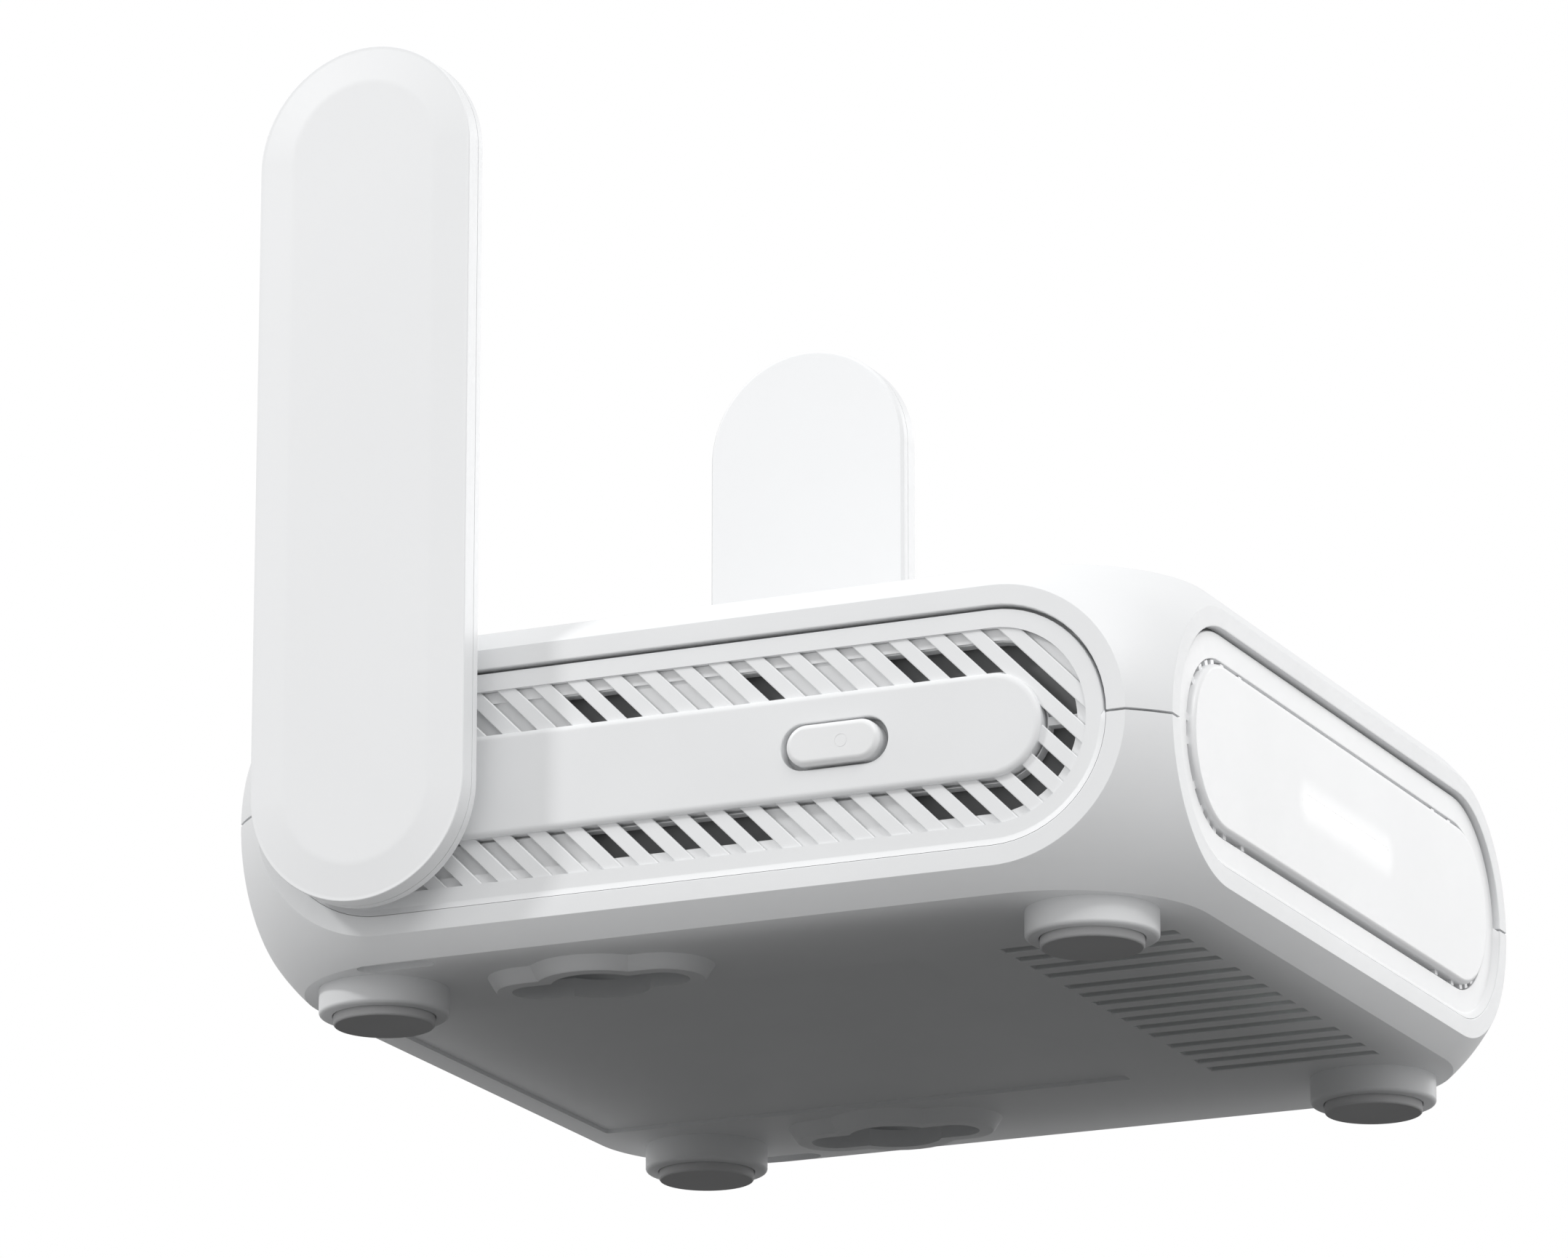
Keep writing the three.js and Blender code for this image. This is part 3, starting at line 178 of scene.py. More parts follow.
# Antennas
PADDLE = INSERT + 0.15
PADDLE_SPAN = 2 * REACH
PADDLE_BACK = FACE + 2.35
PADDLE_SEAM = PADDLE_BACK + 1.65
PADDLE_EDGE = PADDLE_SEAM + GAP + 2.1
PADDLE_CREVICE = 0.12
PADDLE_FACE = box_mm("right_antenna_outer_shell")[1].x
PADDLE_WALL = 1.2
PADDLE_CHAMFER = 0.4
CROWN_WIDTH = 4.8

END_STEPS = 32
ROUND_STEPS = 64
BALL_STEPS = 24
CAP_STEPS = 6

# ------------------------------------ outlines


def arc(x, y, radius, start, end, steps):
    turns = [start + (end - start) * step / steps for step in range(steps + 1)]
    return [(x + radius * math.cos(turn), y + radius * math.sin(turn)) for turn in turns]


def circle(x, y, radius, steps=ROUND_STEPS):
    return arc(x, y, radius, 0, 2 * math.pi, steps)[:-1]


def capsule(start, end, radius, steps=END_STEPS):
    heading = math.atan2(end[1] - start[1], end[0] - start[0])
    far = arc(end[0], end[1], radius, heading - QUARTER, heading + QUARTER, steps)
    near = arc(start[0], start[1], radius, heading + QUARTER, heading + 3 * QUARTER, steps)
    return far + near


def stadium(radius, grow=0):
    """Round-ended line of a side, at a distance all round."""
    return capsule((-REACH, 0), (REACH, 0), radius + grow)


def lengthwise(x, y, length, width, steps=8):
    """Round-ended outline of the given length along x."""
    run = (length - width) / 2
    return capsule((x - run, y), (x + run, y), width / 2, steps)


def upright(x, y, length, width, steps=8):
    run = (length - width) / 2
    return capsule((x, y - run), (x, y + run), width / 2, steps)


def rounded_rectangle(low, high, radius, steps=6):
    points = []
    corners = [(high[0], high[1]), (low[0], high[1]), (low[0], low[1]), (high[0], low[1])]
    signs = [(1, 1), (-1, 1), (-1, -1), (1, -1)]
    for turn, (corner, sign) in enumerate(zip(corners, signs)):
        x = corner[0] - sign[0] * radius
        y = corner[1] - sign[1] * radius
        points += arc(x, y, radius, turn * QUARTER, (turn + 1) * QUARTER, steps)
    return points


# ------------------------------------ solids


def held(bm):
    """New object that holds the finished mesh."""
    mesh = bpy.data.meshes.new("work")
    bm.to_mesh(mesh)
    bm.free()
    obj = bpy.data.objects.new("work", mesh)
    bpy.context.scene.collection.objects.link(obj)
    return obj


def gathered(parts):
    """One object out of separate solids that don't touch."""
    bm = bmesh.new()
    for part in parts:
        bm.from_mesh(part.data)
        bpy.data.objects.remove(part)
    return held(bm)


def solid(rings, closed=False):
    """Closed mesh through matching rings of points; closed joins the last ring to the first."""
    bm = bmesh.new()
    rows = [[bm.verts.new(point) for point in ring] for ring in rings]
    count = len(rows[0])
    pairs = list(zip(rows, rows[1:]))
    if closed:
        pairs.append((rows[-1], rows[0]))
    for low, high in pairs:
        for i in range(count):
            j = (i + 1) % count
            bm.faces.new((low[i], low[j], high[j], high[i]))
    if not closed:
        bm.faces.new(rows[0][::-1])
        bm.faces.new(rows[-1])
    bmesh.ops.recalc_face_normals(bm, faces=bm.faces)
    return held(bm)


def loft(*sections, closed=False):
    """Solid through (outline, height) sections, rising."""
    rings = [[(x, y, height) for x, y in outline] for outline, height in sections]
    return solid(rings, closed)


def turned(profile, x=0.0, y=0.0, closed=False, steps=ROUND_STEPS):
    """Solid of revolution through (radius, height) points about the upright through x, y."""
    return loft(*[(circle(x, y, radius, steps), height) for radius, height in profile], closed=closed)


def swept(profile, closed=False):
    """Solid of (radius, height) points carried round the round-ended line of a side."""
    return loft(*[(stadium(radius), height) for radius, height in profile], closed=closed)


def block(low, high):
    outline = [(low[0], low[1]), (high[0], low[1]), (high[0], high[1]), (low[0], high[1])]
    return loft((outline, low[2]), (outline, high[2]))


def rounding(radius, height, size, steps=5, squash=1.0):
    """Profile points of a rounded outer edge that ends at the given radius and height."""
    points = []
    for step in range(steps + 1):
        turn = QUARTER * step / steps
        inset = size * (1 - math.cos(turn))
        points.append((radius - inset, height - size * squash * (1 - math.sin(turn))))
    return points


def flared(outline, sizes, low, face, flare=MOUTH_ROUNDING):
    """Cutter whose mouth rounds over the surface at height face; outline takes a growth."""
    middle = flare * (1 - math.sqrt(0.5))
    growths = [(0, low), (0, face - flare), (middle, face - middle)]
    growths += [(flare, face + 1.5 * SHAVE), (flare, face + PAST)]
    return loft(*[(outline(*sizes, grow), height) for grow, height in growths])


def moved(obj, matrix):
    obj.data.transform(matrix)
    return obj


def bake(obj):
    """Replace the object's mesh by what its modifiers make of it."""
    depsgraph = bpy.context.evaluated_depsgraph_get()
    made = bpy.data.meshes.new_from_object(obj.evaluated_get(depsgraph))
    obj.modifiers.clear()
    obj.data = made


def combine(base, others, operation):
    for other in others:
        modifier = base.modifiers.new("step", "BOOLEAN")
        modifier.operation = operation
        modifier.solver = "MANIFOLD"
        modifier.object = other
    bake(base)
    for other in others:
        bpy.data.objects.remove(other)
    return base


def cut(base, *others):
    return combine(base, others, "DIFFERENCE")


def join(base, *others):
    return combine(base, others, "UNION")


def common(base, *others):
    return combine(base, others, "INTERSECT")


def softened(obj, width, segments):
    modifier = obj.modifiers.new("soft", "BEVEL")
    modifier.width = width
    modifier.segments = segments
    modifier.limit_method = "ANGLE"
    modifier.angle_limit = math.radians(30)
    bake(obj)
    return obj


def tidy(obj):
    """Merge doubled points and join the flat faces that cutting left in slivers."""
    bm = bmesh.new()
    bm.from_mesh(obj.data)
    bmesh.ops.remove_doubles(bm, verts=bm.verts, dist=CLOSE)
    bmesh.ops.dissolve_degenerate(bm, edges=bm.edges, dist=CLOSE)
    bmesh.ops.dissolve_limit(bm, angle_limit=math.radians(0.2), verts=bm.verts, edges=bm.edges,
                             use_dissolve_boundaries=False)
    bm.to_mesh(obj.data)
    bm.free()
    return obj


materials = {}
WHITE = (1, 1, 1, 1)


def piece(obj, name, body, material, replaces=(), clean=True):
    """Hand a finished solid over: metres, smooth shading with crisp edges, place in the frame."""
    if clean:
        tidy(obj)
    obj.name = name
    obj.data.name = name
    obj.data.transform(Matrix.Scale(MM, 4))
    obj.data.polygons.foreach_set("use_smooth", [True] * len(obj.data.polygons))
    obj.data.set_sharp_from_angle(angle=math.radians(32))
    modifier = obj.modifiers.new("normals", "WEIGHTED_NORMAL")
    modifier.keep_sharp = True
    modifier.weight = 60
    bake(obj)
    obj.data.name = name
    obj.data.materials.clear()
    obj.data.materials.append(materials[material])
    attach(obj, body)
    if replaces:
        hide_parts(*replaces)
    return obj


def case_piece(obj, side, name, slot, material, *nodes, clean=True):
    """Piece of the case that is drawn in the frame of one side."""
    return piece(moved(obj, side), name, "case", material, nodes, clean=clean)


# ------------------------------------ materials


def started(name):
    """New material, kept under its name: its nodes, links and shader."""
    material = bpy.data.materials.new(name)
    material.use_nodes = True
    materials[name] = material
    tree = material.node_tree
    return tree.nodes, tree.links, tree.nodes["Principled BSDF"]


def noise(nodes, links, place, scale, detail=3.0, rough=0.55):
    texture = nodes.new("ShaderNodeTexNoise")
    texture.inputs["Scale"].default_value = scale
    texture.inputs["Detail"].default_value = detail
    texture.inputs["Roughness"].default_value = rough
    links.new(place.outputs["Object"], texture.inputs["Vector"])
    return texture


def spread(nodes, links, source, low, high):
    """Carry a 0..1 texture over to the range low..high."""
    ranged = nodes.new("ShaderNodeMapRange")
    ranged.inputs["From Min"].default_value = 0.3
    ranged.inputs["From Max"].default_value = 0.7
    ranged.inputs["To Min"].default_value = low
    ranged.inputs["To Max"].default_value = high
    links.new(source, ranged.inputs["Value"])
    return ranged.outputs["Result"]


def shaded(nodes, links, source, color, change):
    """Colour that drifts by a small share round its middle value."""
    ramp = nodes.new("ShaderNodeValToRGB")
    ramp.color_ramp.elements[0].position = 0.35
    ramp.color_ramp.elements[1].position = 0.65
    ramp.color_ramp.elements[0].color = [value * (1 - change) for value in color] + [1]
    ramp.color_ramp.elements[1].color = [min(1, value * (1 + change)) for value in color] + [1]
    links.new(source, ramp.inputs["Fac"])
    return ramp.outputs["Color"]


def bumped(nodes, links, shader, source, strength, distance):
    bump = nodes.new("ShaderNodeBump")
    bump.inputs["Strength"].default_value = strength
    bump.inputs["Distance"].default_value = distance
    links.new(source, bump.inputs["Height"])
    links.new(bump.outputs["Normal"], shader.inputs["Normal"])


def finish(name, color, rough, grain=2600, depth=0.00001, strength=0.25, drift=0.012, **sockets):
    """Moulded surface: fine grain in the relief and the gloss, slow drift in colour."""
    nodes, links, shader = started(name)
    place = nodes.new("ShaderNodeTexCoord")
    fine = noise(nodes, links, place, grain, 4.0, 0.6)
    slow = noise(nodes, links, place, 55, 2.0)
    spread_rough = spread(nodes, links, fine.outputs["Fac"], rough - 0.05, rough + 0.05)
    links.new(spread_rough, shader.inputs["Roughness"])
    links.new(shaded(nodes, links, slow.outputs["Fac"], color, drift), shader.inputs["Base Color"])
    bumped(nodes, links, shader, fine.outputs["Fac"], strength, depth)
    for socket, value in sockets.items():
        shader.inputs[socket.replace("_", " ")].default_value = value
    return nodes, links, shader


def brushed(name, color, rough, stretch, depth=0.000006):
    """Metal drawn along one direction."""
    nodes, links, shader = started(name)
    place = nodes.new("ShaderNodeTexCoord")
    along = nodes.new("ShaderNodeMapping")
    along.inputs["Scale"].default_value = stretch
    links.new(place.outputs["Object"], along.inputs["Vector"])
    lines = nodes.new("ShaderNodeTexNoise")
    lines.inputs["Scale"].default_value = 900
    lines.inputs["Detail"].default_value = 5.0
    links.new(along.outputs["Vector"], lines.inputs["Vector"])
    gloss = spread(nodes, links, lines.outputs["Fac"], rough - 0.08, rough + 0.1)
    links.new(gloss, shader.inputs["Roughness"])
    links.new(shaded(nodes, links, lines.outputs["Fac"], color, 0.06), shader.inputs["Base Color"])
    bumped(nodes, links, shader, lines.outputs["Fac"], 0.3, depth)
    shader.inputs["Metallic"].default_value = 1.0


def board_finish(name):
    """Green solder mask with copper tracks showing faintly through it."""
    nodes, links, shader = started(name)
    place = nodes.new("ShaderNodeTexCoord")
    tracks = nodes.new("ShaderNodeTexVoronoi")
    tracks.distance = "MANHATTAN"
    tracks.feature = "DISTANCE_TO_EDGE"
    tracks.inputs["Scale"].default_value = 260
    links.new(place.outputs["Object"], tracks.inputs["Vector"])
    ramp = nodes.new("ShaderNodeValToRGB")
    ramp.color_ramp.elements[0].position = 0.05
    ramp.color_ramp.elements[1].position = 0.09
    ramp.color_ramp.elements[0].color = (0.045, 0.22, 0.11, 1)
    ramp.color_ramp.elements[1].color = (0.02, 0.12, 0.06, 1)
    links.new(tracks.outputs["Distance"], ramp.inputs["Fac"])
    links.new(ramp.outputs["Color"], shader.inputs["Base Color"])
    fine = noise(nodes, links, place, 900)
    links.new(spread(nodes, links, fine.outputs["Fac"], 0.32, 0.45), shader.inputs["Roughness"])
    bumped(nodes, links, shader, tracks.outputs["Distance"], 0.4, 0.00004)


def glowing(name, color, strength):
    """Milky diffuser lit from behind."""
    _, _, shader = finish(name, color, 0.3, 1800, 0.000005, 0.1, 0.01)
    shader.inputs["Emission Color"].default_value = WHITE
    shader.inputs["Emission Strength"].default_value = strength


def painted_glow(name, color, rough):
    """Front plastic with a painted glow: emission within a short reach of the light slot stands in for the
    slot's light falling on the plate.
    """
    nodes, links, shader = finish(name, color, rough, 2200)
    place = nodes.new("ShaderNodeTexCoord")
    split = nodes.new("ShaderNodeSeparateXYZ")
    links.new(place.outputs["Object"], split.inputs["Vector"])

    def calculate(operation, first, second):
        step = nodes.new("ShaderNodeMath")
        step.operation = operation
        for socket, value in zip(step.inputs, (first, second)):
            if isinstance(value, (int, float)):
                socket.default_value = value
            else:
                links.new(value, socket)
        return step.outputs["Value"]

    straight = (LIGHT_SLOT[0] - LIGHT_SLOT[1]) / 2 * MM
    sideways = calculate("SUBTRACT", calculate("ABSOLUTE", split.outputs["X"], 0), straight)
    sideways = calculate("MAXIMUM", sideways, 0)
    upward = calculate("SUBTRACT", split.outputs["Z"], MID * MM)
    squares = calculate("ADD", calculate("POWER", sideways, 2), calculate("MULTIPLY", upward, upward))
    # Painted glow: emission that fades out with distance from the light slot
    fade = nodes.new("ShaderNodeMapRange")
    fade.interpolation_type = "SMOOTHERSTEP"
    fade.inputs["From Min"].default_value = 0
    fade.inputs["From Max"].default_value = (LIGHT_SLOT[1] / 2 + PAINTED_GLOW_REACH) * MM
    fade.inputs["To Min"].default_value = PAINTED_GLOW_STRENGTH
    fade.inputs["To Max"].default_value = 0
    links.new(calculate("SQRT", squares, 0), fade.inputs["Value"])
    links.new(fade.outputs["Result"], shader.inputs["Emission Strength"])
    shader.inputs["Emission Color"].default_value = WHITE


finish("case_white", (0.85, 0.858, 0.866), 0.46)
finish("antenna_white", (0.875, 0.882, 0.89), 0.42, 2200, drift=0.004)
finish("front_white", (0.875, 0.88, 0.887), 0.4, 2200)
# Front plastic carrying the painted glow round the light slot
painted_glow("front_painted_glow", (0.875, 0.88, 0.887), 0.4)
finish("liner_white", (0.86, 0.866, 0.872), 0.5)
# Painted shade: dark grey for the sheet that stands in for the shade inside the case
finish("painted_shade_grey", (0.2, 0.202, 0.205), 0.6)
finish("button_white", (0.87, 0.876, 0.882), 0.38, 2000)
finish("rubber_grey", (0.66, 0.662, 0.668), 0.8, 1500, 0.00003, 0.5, 0.03)
finish("port_black", (0.03, 0.031, 0.034), 0.42, 1800, 0.00001, 0.3, 0.1)
finish("chip_epoxy", (0.035, 0.036, 0.04), 0.55, 2400, 0.00002, 0.5, 0.08)
finish("silicone_pad", (0.32, 0.42, 0.52), 0.8, 1200, 0.00004, 0.5, 0.05)
finish("cable_black", (0.05, 0.05, 0.055), 0.5, 1500, 0.00002, 0.4, 0.08)
brushed("steel", (0.66, 0.66, 0.67), 0.3, (1, 12, 12))
brushed("aluminium", (0.7, 0.705, 0.715), 0.36, (12, 1, 12))
brushed("gold", (0.83, 0.62, 0.26), 0.25, (12, 12, 1))
board_finish("board_green")
glowing("light_white", (0.95, 0.96, 0.98), 3.0)

# ------------------------------------ places of the sides


def side_frame(quarter_turns):
    """Frame of a side: x along it, y up from mid height, z out from the middle."""
    lift = Matrix.Translation((0, 0, MID))
    turn = Matrix.Rotation(quarter_turns * QUARTER, 4, "Z")
    return lift @ turn @ Matrix.Rotation(QUARTER, 4, "X")


front_frame = side_frame(0)
right_frame = side_frame(1)
rear_frame = side_frame(2)
left_frame = side_frame(3)
all_sides = [front_frame, right_frame, rear_frame, left_frame]
feet = [(depth + "_" + side, x * FOOT, y * FOOT)
        for depth, y in (("front", -1), ("rear", 1)) for side, x in (("left", -1), ("right", 1))]

# ------------------------------------ case covers


def ball_heights(ball, low, high, crease):
    """Heights of the rings of a rolled block, closest together where it curves most."""
    heights = set()
    for step in range(-BALL_STEPS, BALL_STEPS + 1):
        heights.add(round(MID + crease * math.sin(QUARTER * step / BALL_STEPS), 6))
    for sign, end in ((-1, low), (1, high)):
        start = math.asin(sign * crease / ball)
        finish_turn = math.asin((end - MID) / ball)
        for step in range(1, CAP_STEPS + 1):
            turn = start + (finish_turn - start) * step / CAP_STEPS
            heights.add(round(MID + ball * math.sin(turn), 6))
    return sorted(height for height in heights if low - 1e-6 <= height <= high + 1e-6)


def rolled_block(ball, face, low, high):
    """Square block whose corners are parts of balls, cut flat by its four faces."""
    crease = math.sqrt(ball**2 - (face - REACH) ** 2)
    rings = []
    for height in ball_heights(ball, low, high, crease):
        radius = math.sqrt(ball**2 - (height - MID) ** 2)
        trim = math.acos(min(1.0, (face - REACH) / radius))
        ring = []
        for turn, (sign_x, sign_y) in enumerate([(1, 1), (-1, 1), (-1, -1), (1, -1)]):
            start = turn * QUARTER + trim
            end = (turn + 1) * QUARTER - trim
            ring += arc(sign_x * REACH, sign_y * REACH, radius, start, end, END_STEPS)
        rings.append([(x, y, height) for x, y in ring])
    return solid(rings)


def side_openings(depth=8.0):
    return [moved(flared(stadium, (OPENING,), FACE - depth, FACE), side) for side in all_sides]


def slab(low, high, half=FACE + 10):
    return block((-half, -half, low), (half, half, high))


def shell(wall, low, high):
    """Hollow case between two heights, open at its four sides."""
    outside = softened(rolled_block(BALL, FACE, UNDERSIDE, TOP), CREASE, 3)
    inside = rolled_block(BALL - wall, FACE - wall, UNDERSIDE + wall, TOP - wall)
    return cut(common(outside, slab(low, high)), inside, *side_openings())


def top_cover():
    """Upper half, with a slightly tapered screw boss over each foot."""
    cover = shell(TOP_WALL, MID + SEAM / 2, TOP + PAST)
    boss = [(3.6, 11.4), (3.5, TOP - TOP_WALL / 2)]
    pilot = [(SCREW_HOLE, 8.0), (SCREW_HOLE, 24.0)]
    bosses = [turned(boss, x, y) for _, x, y in feet]
    pilots = [turned(pilot, x, y, steps=24) for _, x, y in feet]
    return cut(join(cover, *bosses), *pilots)


def seam_lip():
    """Inner rim of the lower cover that stands behind the seam."""
    outer = rolled_block(BALL - TOP_WALL - 0.1, FACE - TOP_WALL - 0.1, UNDERSIDE + WALL, TOP - WALL)
    inner = rolled_block(BALL - WALL, FACE - WALL, UNDERSIDE + WALL - 0.1, TOP - WALL + 0.1)
    band = slab(MID - 2.0, MID + LIP_RISE)
    return common(cut(outer, inner, *side_openings()), band)


def foot_solids():
    """Rounded boss under each corner, with a post for its screw inside the case."""
    post = 5.5
    profile = [(BOSS_RADIUS, UNDERSIDE + 1.0)]
    profile += [(radius, 2 * BOSS_BASE - height) for radius, height in
                rounding(BOSS_RADIUS, BOSS_BASE, BOSS_ROUNDING, 8)]
    made = []
    for _, x, y in feet:
        made.append(turned(profile[::-1], x, y))
        made.append(turned([(post, UNDERSIDE + 0.5), (post, 11.0)], x, y, steps=32))
    return made


def foot_holes():
    """Recess for the pad, then the screw's head and its shank."""
    wide = PAD_RADIUS + 0.08
    lip = 0.12
    mouth = [(wide + lip, BOSS_BASE - PAST), (wide + lip, BOSS_BASE)]
    mouth += [(wide, BOSS_BASE + lip), (wide, BOSS_SEAT)]
    made = []
    for _, x, y in feet:
        made.append(turned(mouth, x, y))
        made.append(turned([(SCREW_HEAD_HOLE, BOSS_SEAT - 0.2), (SCREW_HEAD_HOLE, 4.0)], x, y, steps=32))
        made.append(turned([(SCREW_HOLE, 3.5), (SCREW_HOLE, 12.0)], x, y, steps=24))
    return made


def keyhole_solids(x):
    """Raised lip that follows the keyhole, with a closed cup behind it."""
    face_lip = 2.0
    base_lip = 2.9
    edge = 0.25
    cup_wall = 1.2
    made = []
    for half, width in ((KEYHOLE_HALF, KEYHOLE_SLOT), (KEYHOLE_ROUND + 0.01, KEYHOLE_ROUND)):
        sections = []
        for lip, height in (
            (face_lip - edge, KEYHOLE_FACE),
            (face_lip + 0.02, KEYHOLE_FACE + edge),
            (base_lip, UNDERSIDE),
            (base_lip, UNDERSIDE + 1.0),
        ):
            sections.append((upright(x, KEYHOLE_Y, 2 * (half + lip), 2 * (width + lip), 16), height))
        made.append(loft(*sections))
    cup = upright(x, KEYHOLE_Y, 2 * (KEYHOLE_HALF + cup_wall), 2 * (KEYHOLE_ROUND + cup_wall), 16)
    made.append(loft((cup, UNDERSIDE + 0.5), (cup, KEYHOLE_ROOF + cup_wall)))
    return made


def keyhole_holes(x):
    slot = upright(x, KEYHOLE_Y, 2 * KEYHOLE_HALF, 2 * KEYHOLE_SLOT, 16)
    pocket = upright(x, KEYHOLE_Y, 2 * KEYHOLE_HALF, 2 * KEYHOLE_ROUND, 16)
    round_hole = circle(x, KEYHOLE_Y, KEYHOLE_ROUND)
    return [
        loft((slot, KEYHOLE_FACE - PAST), (slot, KEYHOLE_ROOF)),
        loft((round_hole, KEYHOLE_FACE - PAST), (round_hole, KEYHOLE_ROOF - 0.01)),
        loft((pocket, KEYHOLE_FACE + KEYHOLE_LIP), (pocket, KEYHOLE_ROOF + 0.01)),
    ]


def vent_cutters():
    gaps = len(VENT_GROUPS) - 1
    pitch = (2 * VENT_REACH - gaps * VENT_GROUP_GAP) / (sum(VENT_GROUPS) - 1)
    lip = 0.12
    cutters = []
    x = -VENT_REACH
    for count in VENT_GROUPS:
        for _ in range(count):
            wide, narrow = [
                rounded_rectangle(
                    (x - VENT_WIDTH / 2 - grow, VENT_MIDDLE - VENT_LENGTH / 2 - grow),
                    (x + VENT_WIDTH / 2 + grow, VENT_MIDDLE + VENT_LENGTH / 2 + grow), VENT_CORNER + grow, 4)
                for grow in (lip, 0)]
            cutters.append(loft(
                (wide, UNDERSIDE - PAST), (wide, UNDERSIDE), (narrow, UNDERSIDE + lip),
                (narrow, UNDERSIDE + WALL + PAST)))
            x += pitch
        x += VENT_GROUP_GAP
    return cutters


def label_and_notches():
    low = (-LABEL_X, LABEL_Y[0])
    high = (LABEL_X, LABEL_Y[1])
    label = rounded_rectangle(low, high, LABEL_CORNER)
    cutters = [loft((label, UNDERSIDE - PAST), (label, UNDERSIDE + LABEL_SINK))]
    for sign in (-1, 1):
        notch = upright(sign * NOTCH_X, REACH, NOTCH[0], NOTCH[1])
        cutters.append(loft((notch, UNDERSIDE - PAST), (notch, UNDERSIDE + NOTCH[2])))
    return cutters


def bottom_cover():
    tray = shell(WALL, UNDERSIDE - PAST, MID - SEAM / 2)
    added = foot_solids() + [seam_lip()]
    removed = foot_holes() + vent_cutters() + label_and_notches()
    for sign in (-1, 1):
        added += keyhole_solids(sign * KEYHOLE_X)
        removed += keyhole_holes(sign * KEYHOLE_X)
    return cut(join(tray, *added), *removed)


piece(top_cover(), "upper_case", "case", "case_white", ["top_cover"])
piece(bottom_cover(), "lower_case", "case", "case_white", ["bottom_cover"])


def foot_pad(x, y):
    """Rubber disc, rounded at its foot and very slightly dished underneath."""
    profile = [(1.5, 0.06), (PAD_RADIUS - 1.6, 0.02), (PAD_RADIUS - 0.9, 0.0)]
    for step in range(6):
        turn = QUARTER * step / 5
        radius = PAD_RADIUS - 0.3 * (1 - math.sin(turn))
        profile.append((radius, 0.3 * (1 - math.cos(turn))))
    profile += [(PAD_RADIUS, PAD_TOP - 0.1), (PAD_RADIUS - 0.1, PAD_TOP)]
    return turned(profile, x, y)


for name, foot_x, foot_y in feet:
    pad = foot_pad(foot_x, foot_y)
    piece(pad, "rubber_foot_" + name, "case", "rubber_grey", ["foot_pad_" + name])

# ------------------------------------ side inserts


def insert(face, plate, lower_rise):
    """Round-ended plate: crisp rounded edge above mid height, soft fillet below it."""
    nudge = math.radians(1.2)
    step_turns = [QUARTER * step / (END_STEPS // 2) for step in range(1, END_STEPS // 2 + 1)]
    half = [-turn for turn in step_turns[::-1]] + [-nudge, nudge] + step_turns
    stations = [(REACH, turn) for turn in half] + [(-REACH, turn + 2 * QUARTER) for turn in half]
    count = 7

    flange = [(FLANGE_RADIUS, FLANGE_BACK), (FLANGE_RADIUS, FLANGE_FRONT)]
    inner = [(INSERT - LOWER_FILLET - 0.4, face)]
    edge = rounding(INSERT, face, EDGE_ROUNDING, 3)
    above = flange + [(INSERT, FLANGE_FRONT)] + [edge[0]] * (count - 3) + edge + inner
    below = flange + [(LOWER_EDGE, FLANGE_FRONT)]
    for step in range(count + 1):
        sine = math.sin(QUARTER * step / count)
        below.append((LOWER_EDGE - LOWER_FILLET * sine, face + lower_rise * (1 - sine) ** 1.3))
    below += inner
    rings = []
    for high_point, low_point in zip(above, below):
        ring = []
        for centre, turn in stations:
            radius, height = high_point if math.sin(turn) > 0 else low_point
            ring.append((centre + radius * math.cos(turn), radius * math.sin(turn), height))
        rings.append(ring)
    body = solid(rings)
    hollow = swept([(INSERT - SKIRT_WALL, FLANGE_BACK - PAST), (INSERT - SKIRT_WALL, face - plate)])
    return cut(body, hollow)


def slot_cutters(frontward):
    low = PLATE_BACK - PAST
    high = SIDE_FACE + PAST
    ribs = SIDE_FACE - RIB_SINK
    zone = swept([(BORDER, low), (BORDER, high)])
    hub_x = -frontward * REACH
    zone = cut(zone, swept([(BAND, low - PAST), (BAND, high + PAST)]),
               turned([(HUB + PAST, low - PAST), (HUB + PAST, high + PAST)], hub_x, 0))
    count = math.ceil((REACH + 1.5 * BORDER) / SLOT_PITCH)
    turn = Matrix.Rotation(-frontward * QUARTER / 2, 4, "Z")
    reach = 2 * BORDER
    profile = [(0, low), (0, ribs - SLOT_FLARE), (SLOT_FLARE, ribs + SHAVE), (SLOT_FLARE, high)]
    strips = []
    for i in range(-count, count + 1):
        sections = []
        for grow, height in profile:
            half = SLOT_WIDTH / 2 + grow
            sections.append(([(-reach, -half), (reach, -half), (reach, half), (-reach, half)], height))
        shift = Matrix.Translation((frontward * i * SLOT_PITCH, 0, 0))
        strips.append(moved(loft(*sections), shift @ turn))
    return common(zone, gathered(strips))


def band():
    return swept([(BAND, PLATE_BACK + 0.2)] + rounding(BAND, BAND_FACE, BAND_ROUNDING, 7, 0.6))


def rib_ring(frontward, inner, outer, low, high, around_hub):
    """Ring between the band and the border, left out round the hub."""
    ring = cut(swept([(outer, low), (outer, high)]), swept([(inner, low - PAST), (inner, high + PAST)]))
    return cut(ring, turned([(around_hub, low - PAST), (around_hub, high + PAST)], -frontward * REACH, 0))


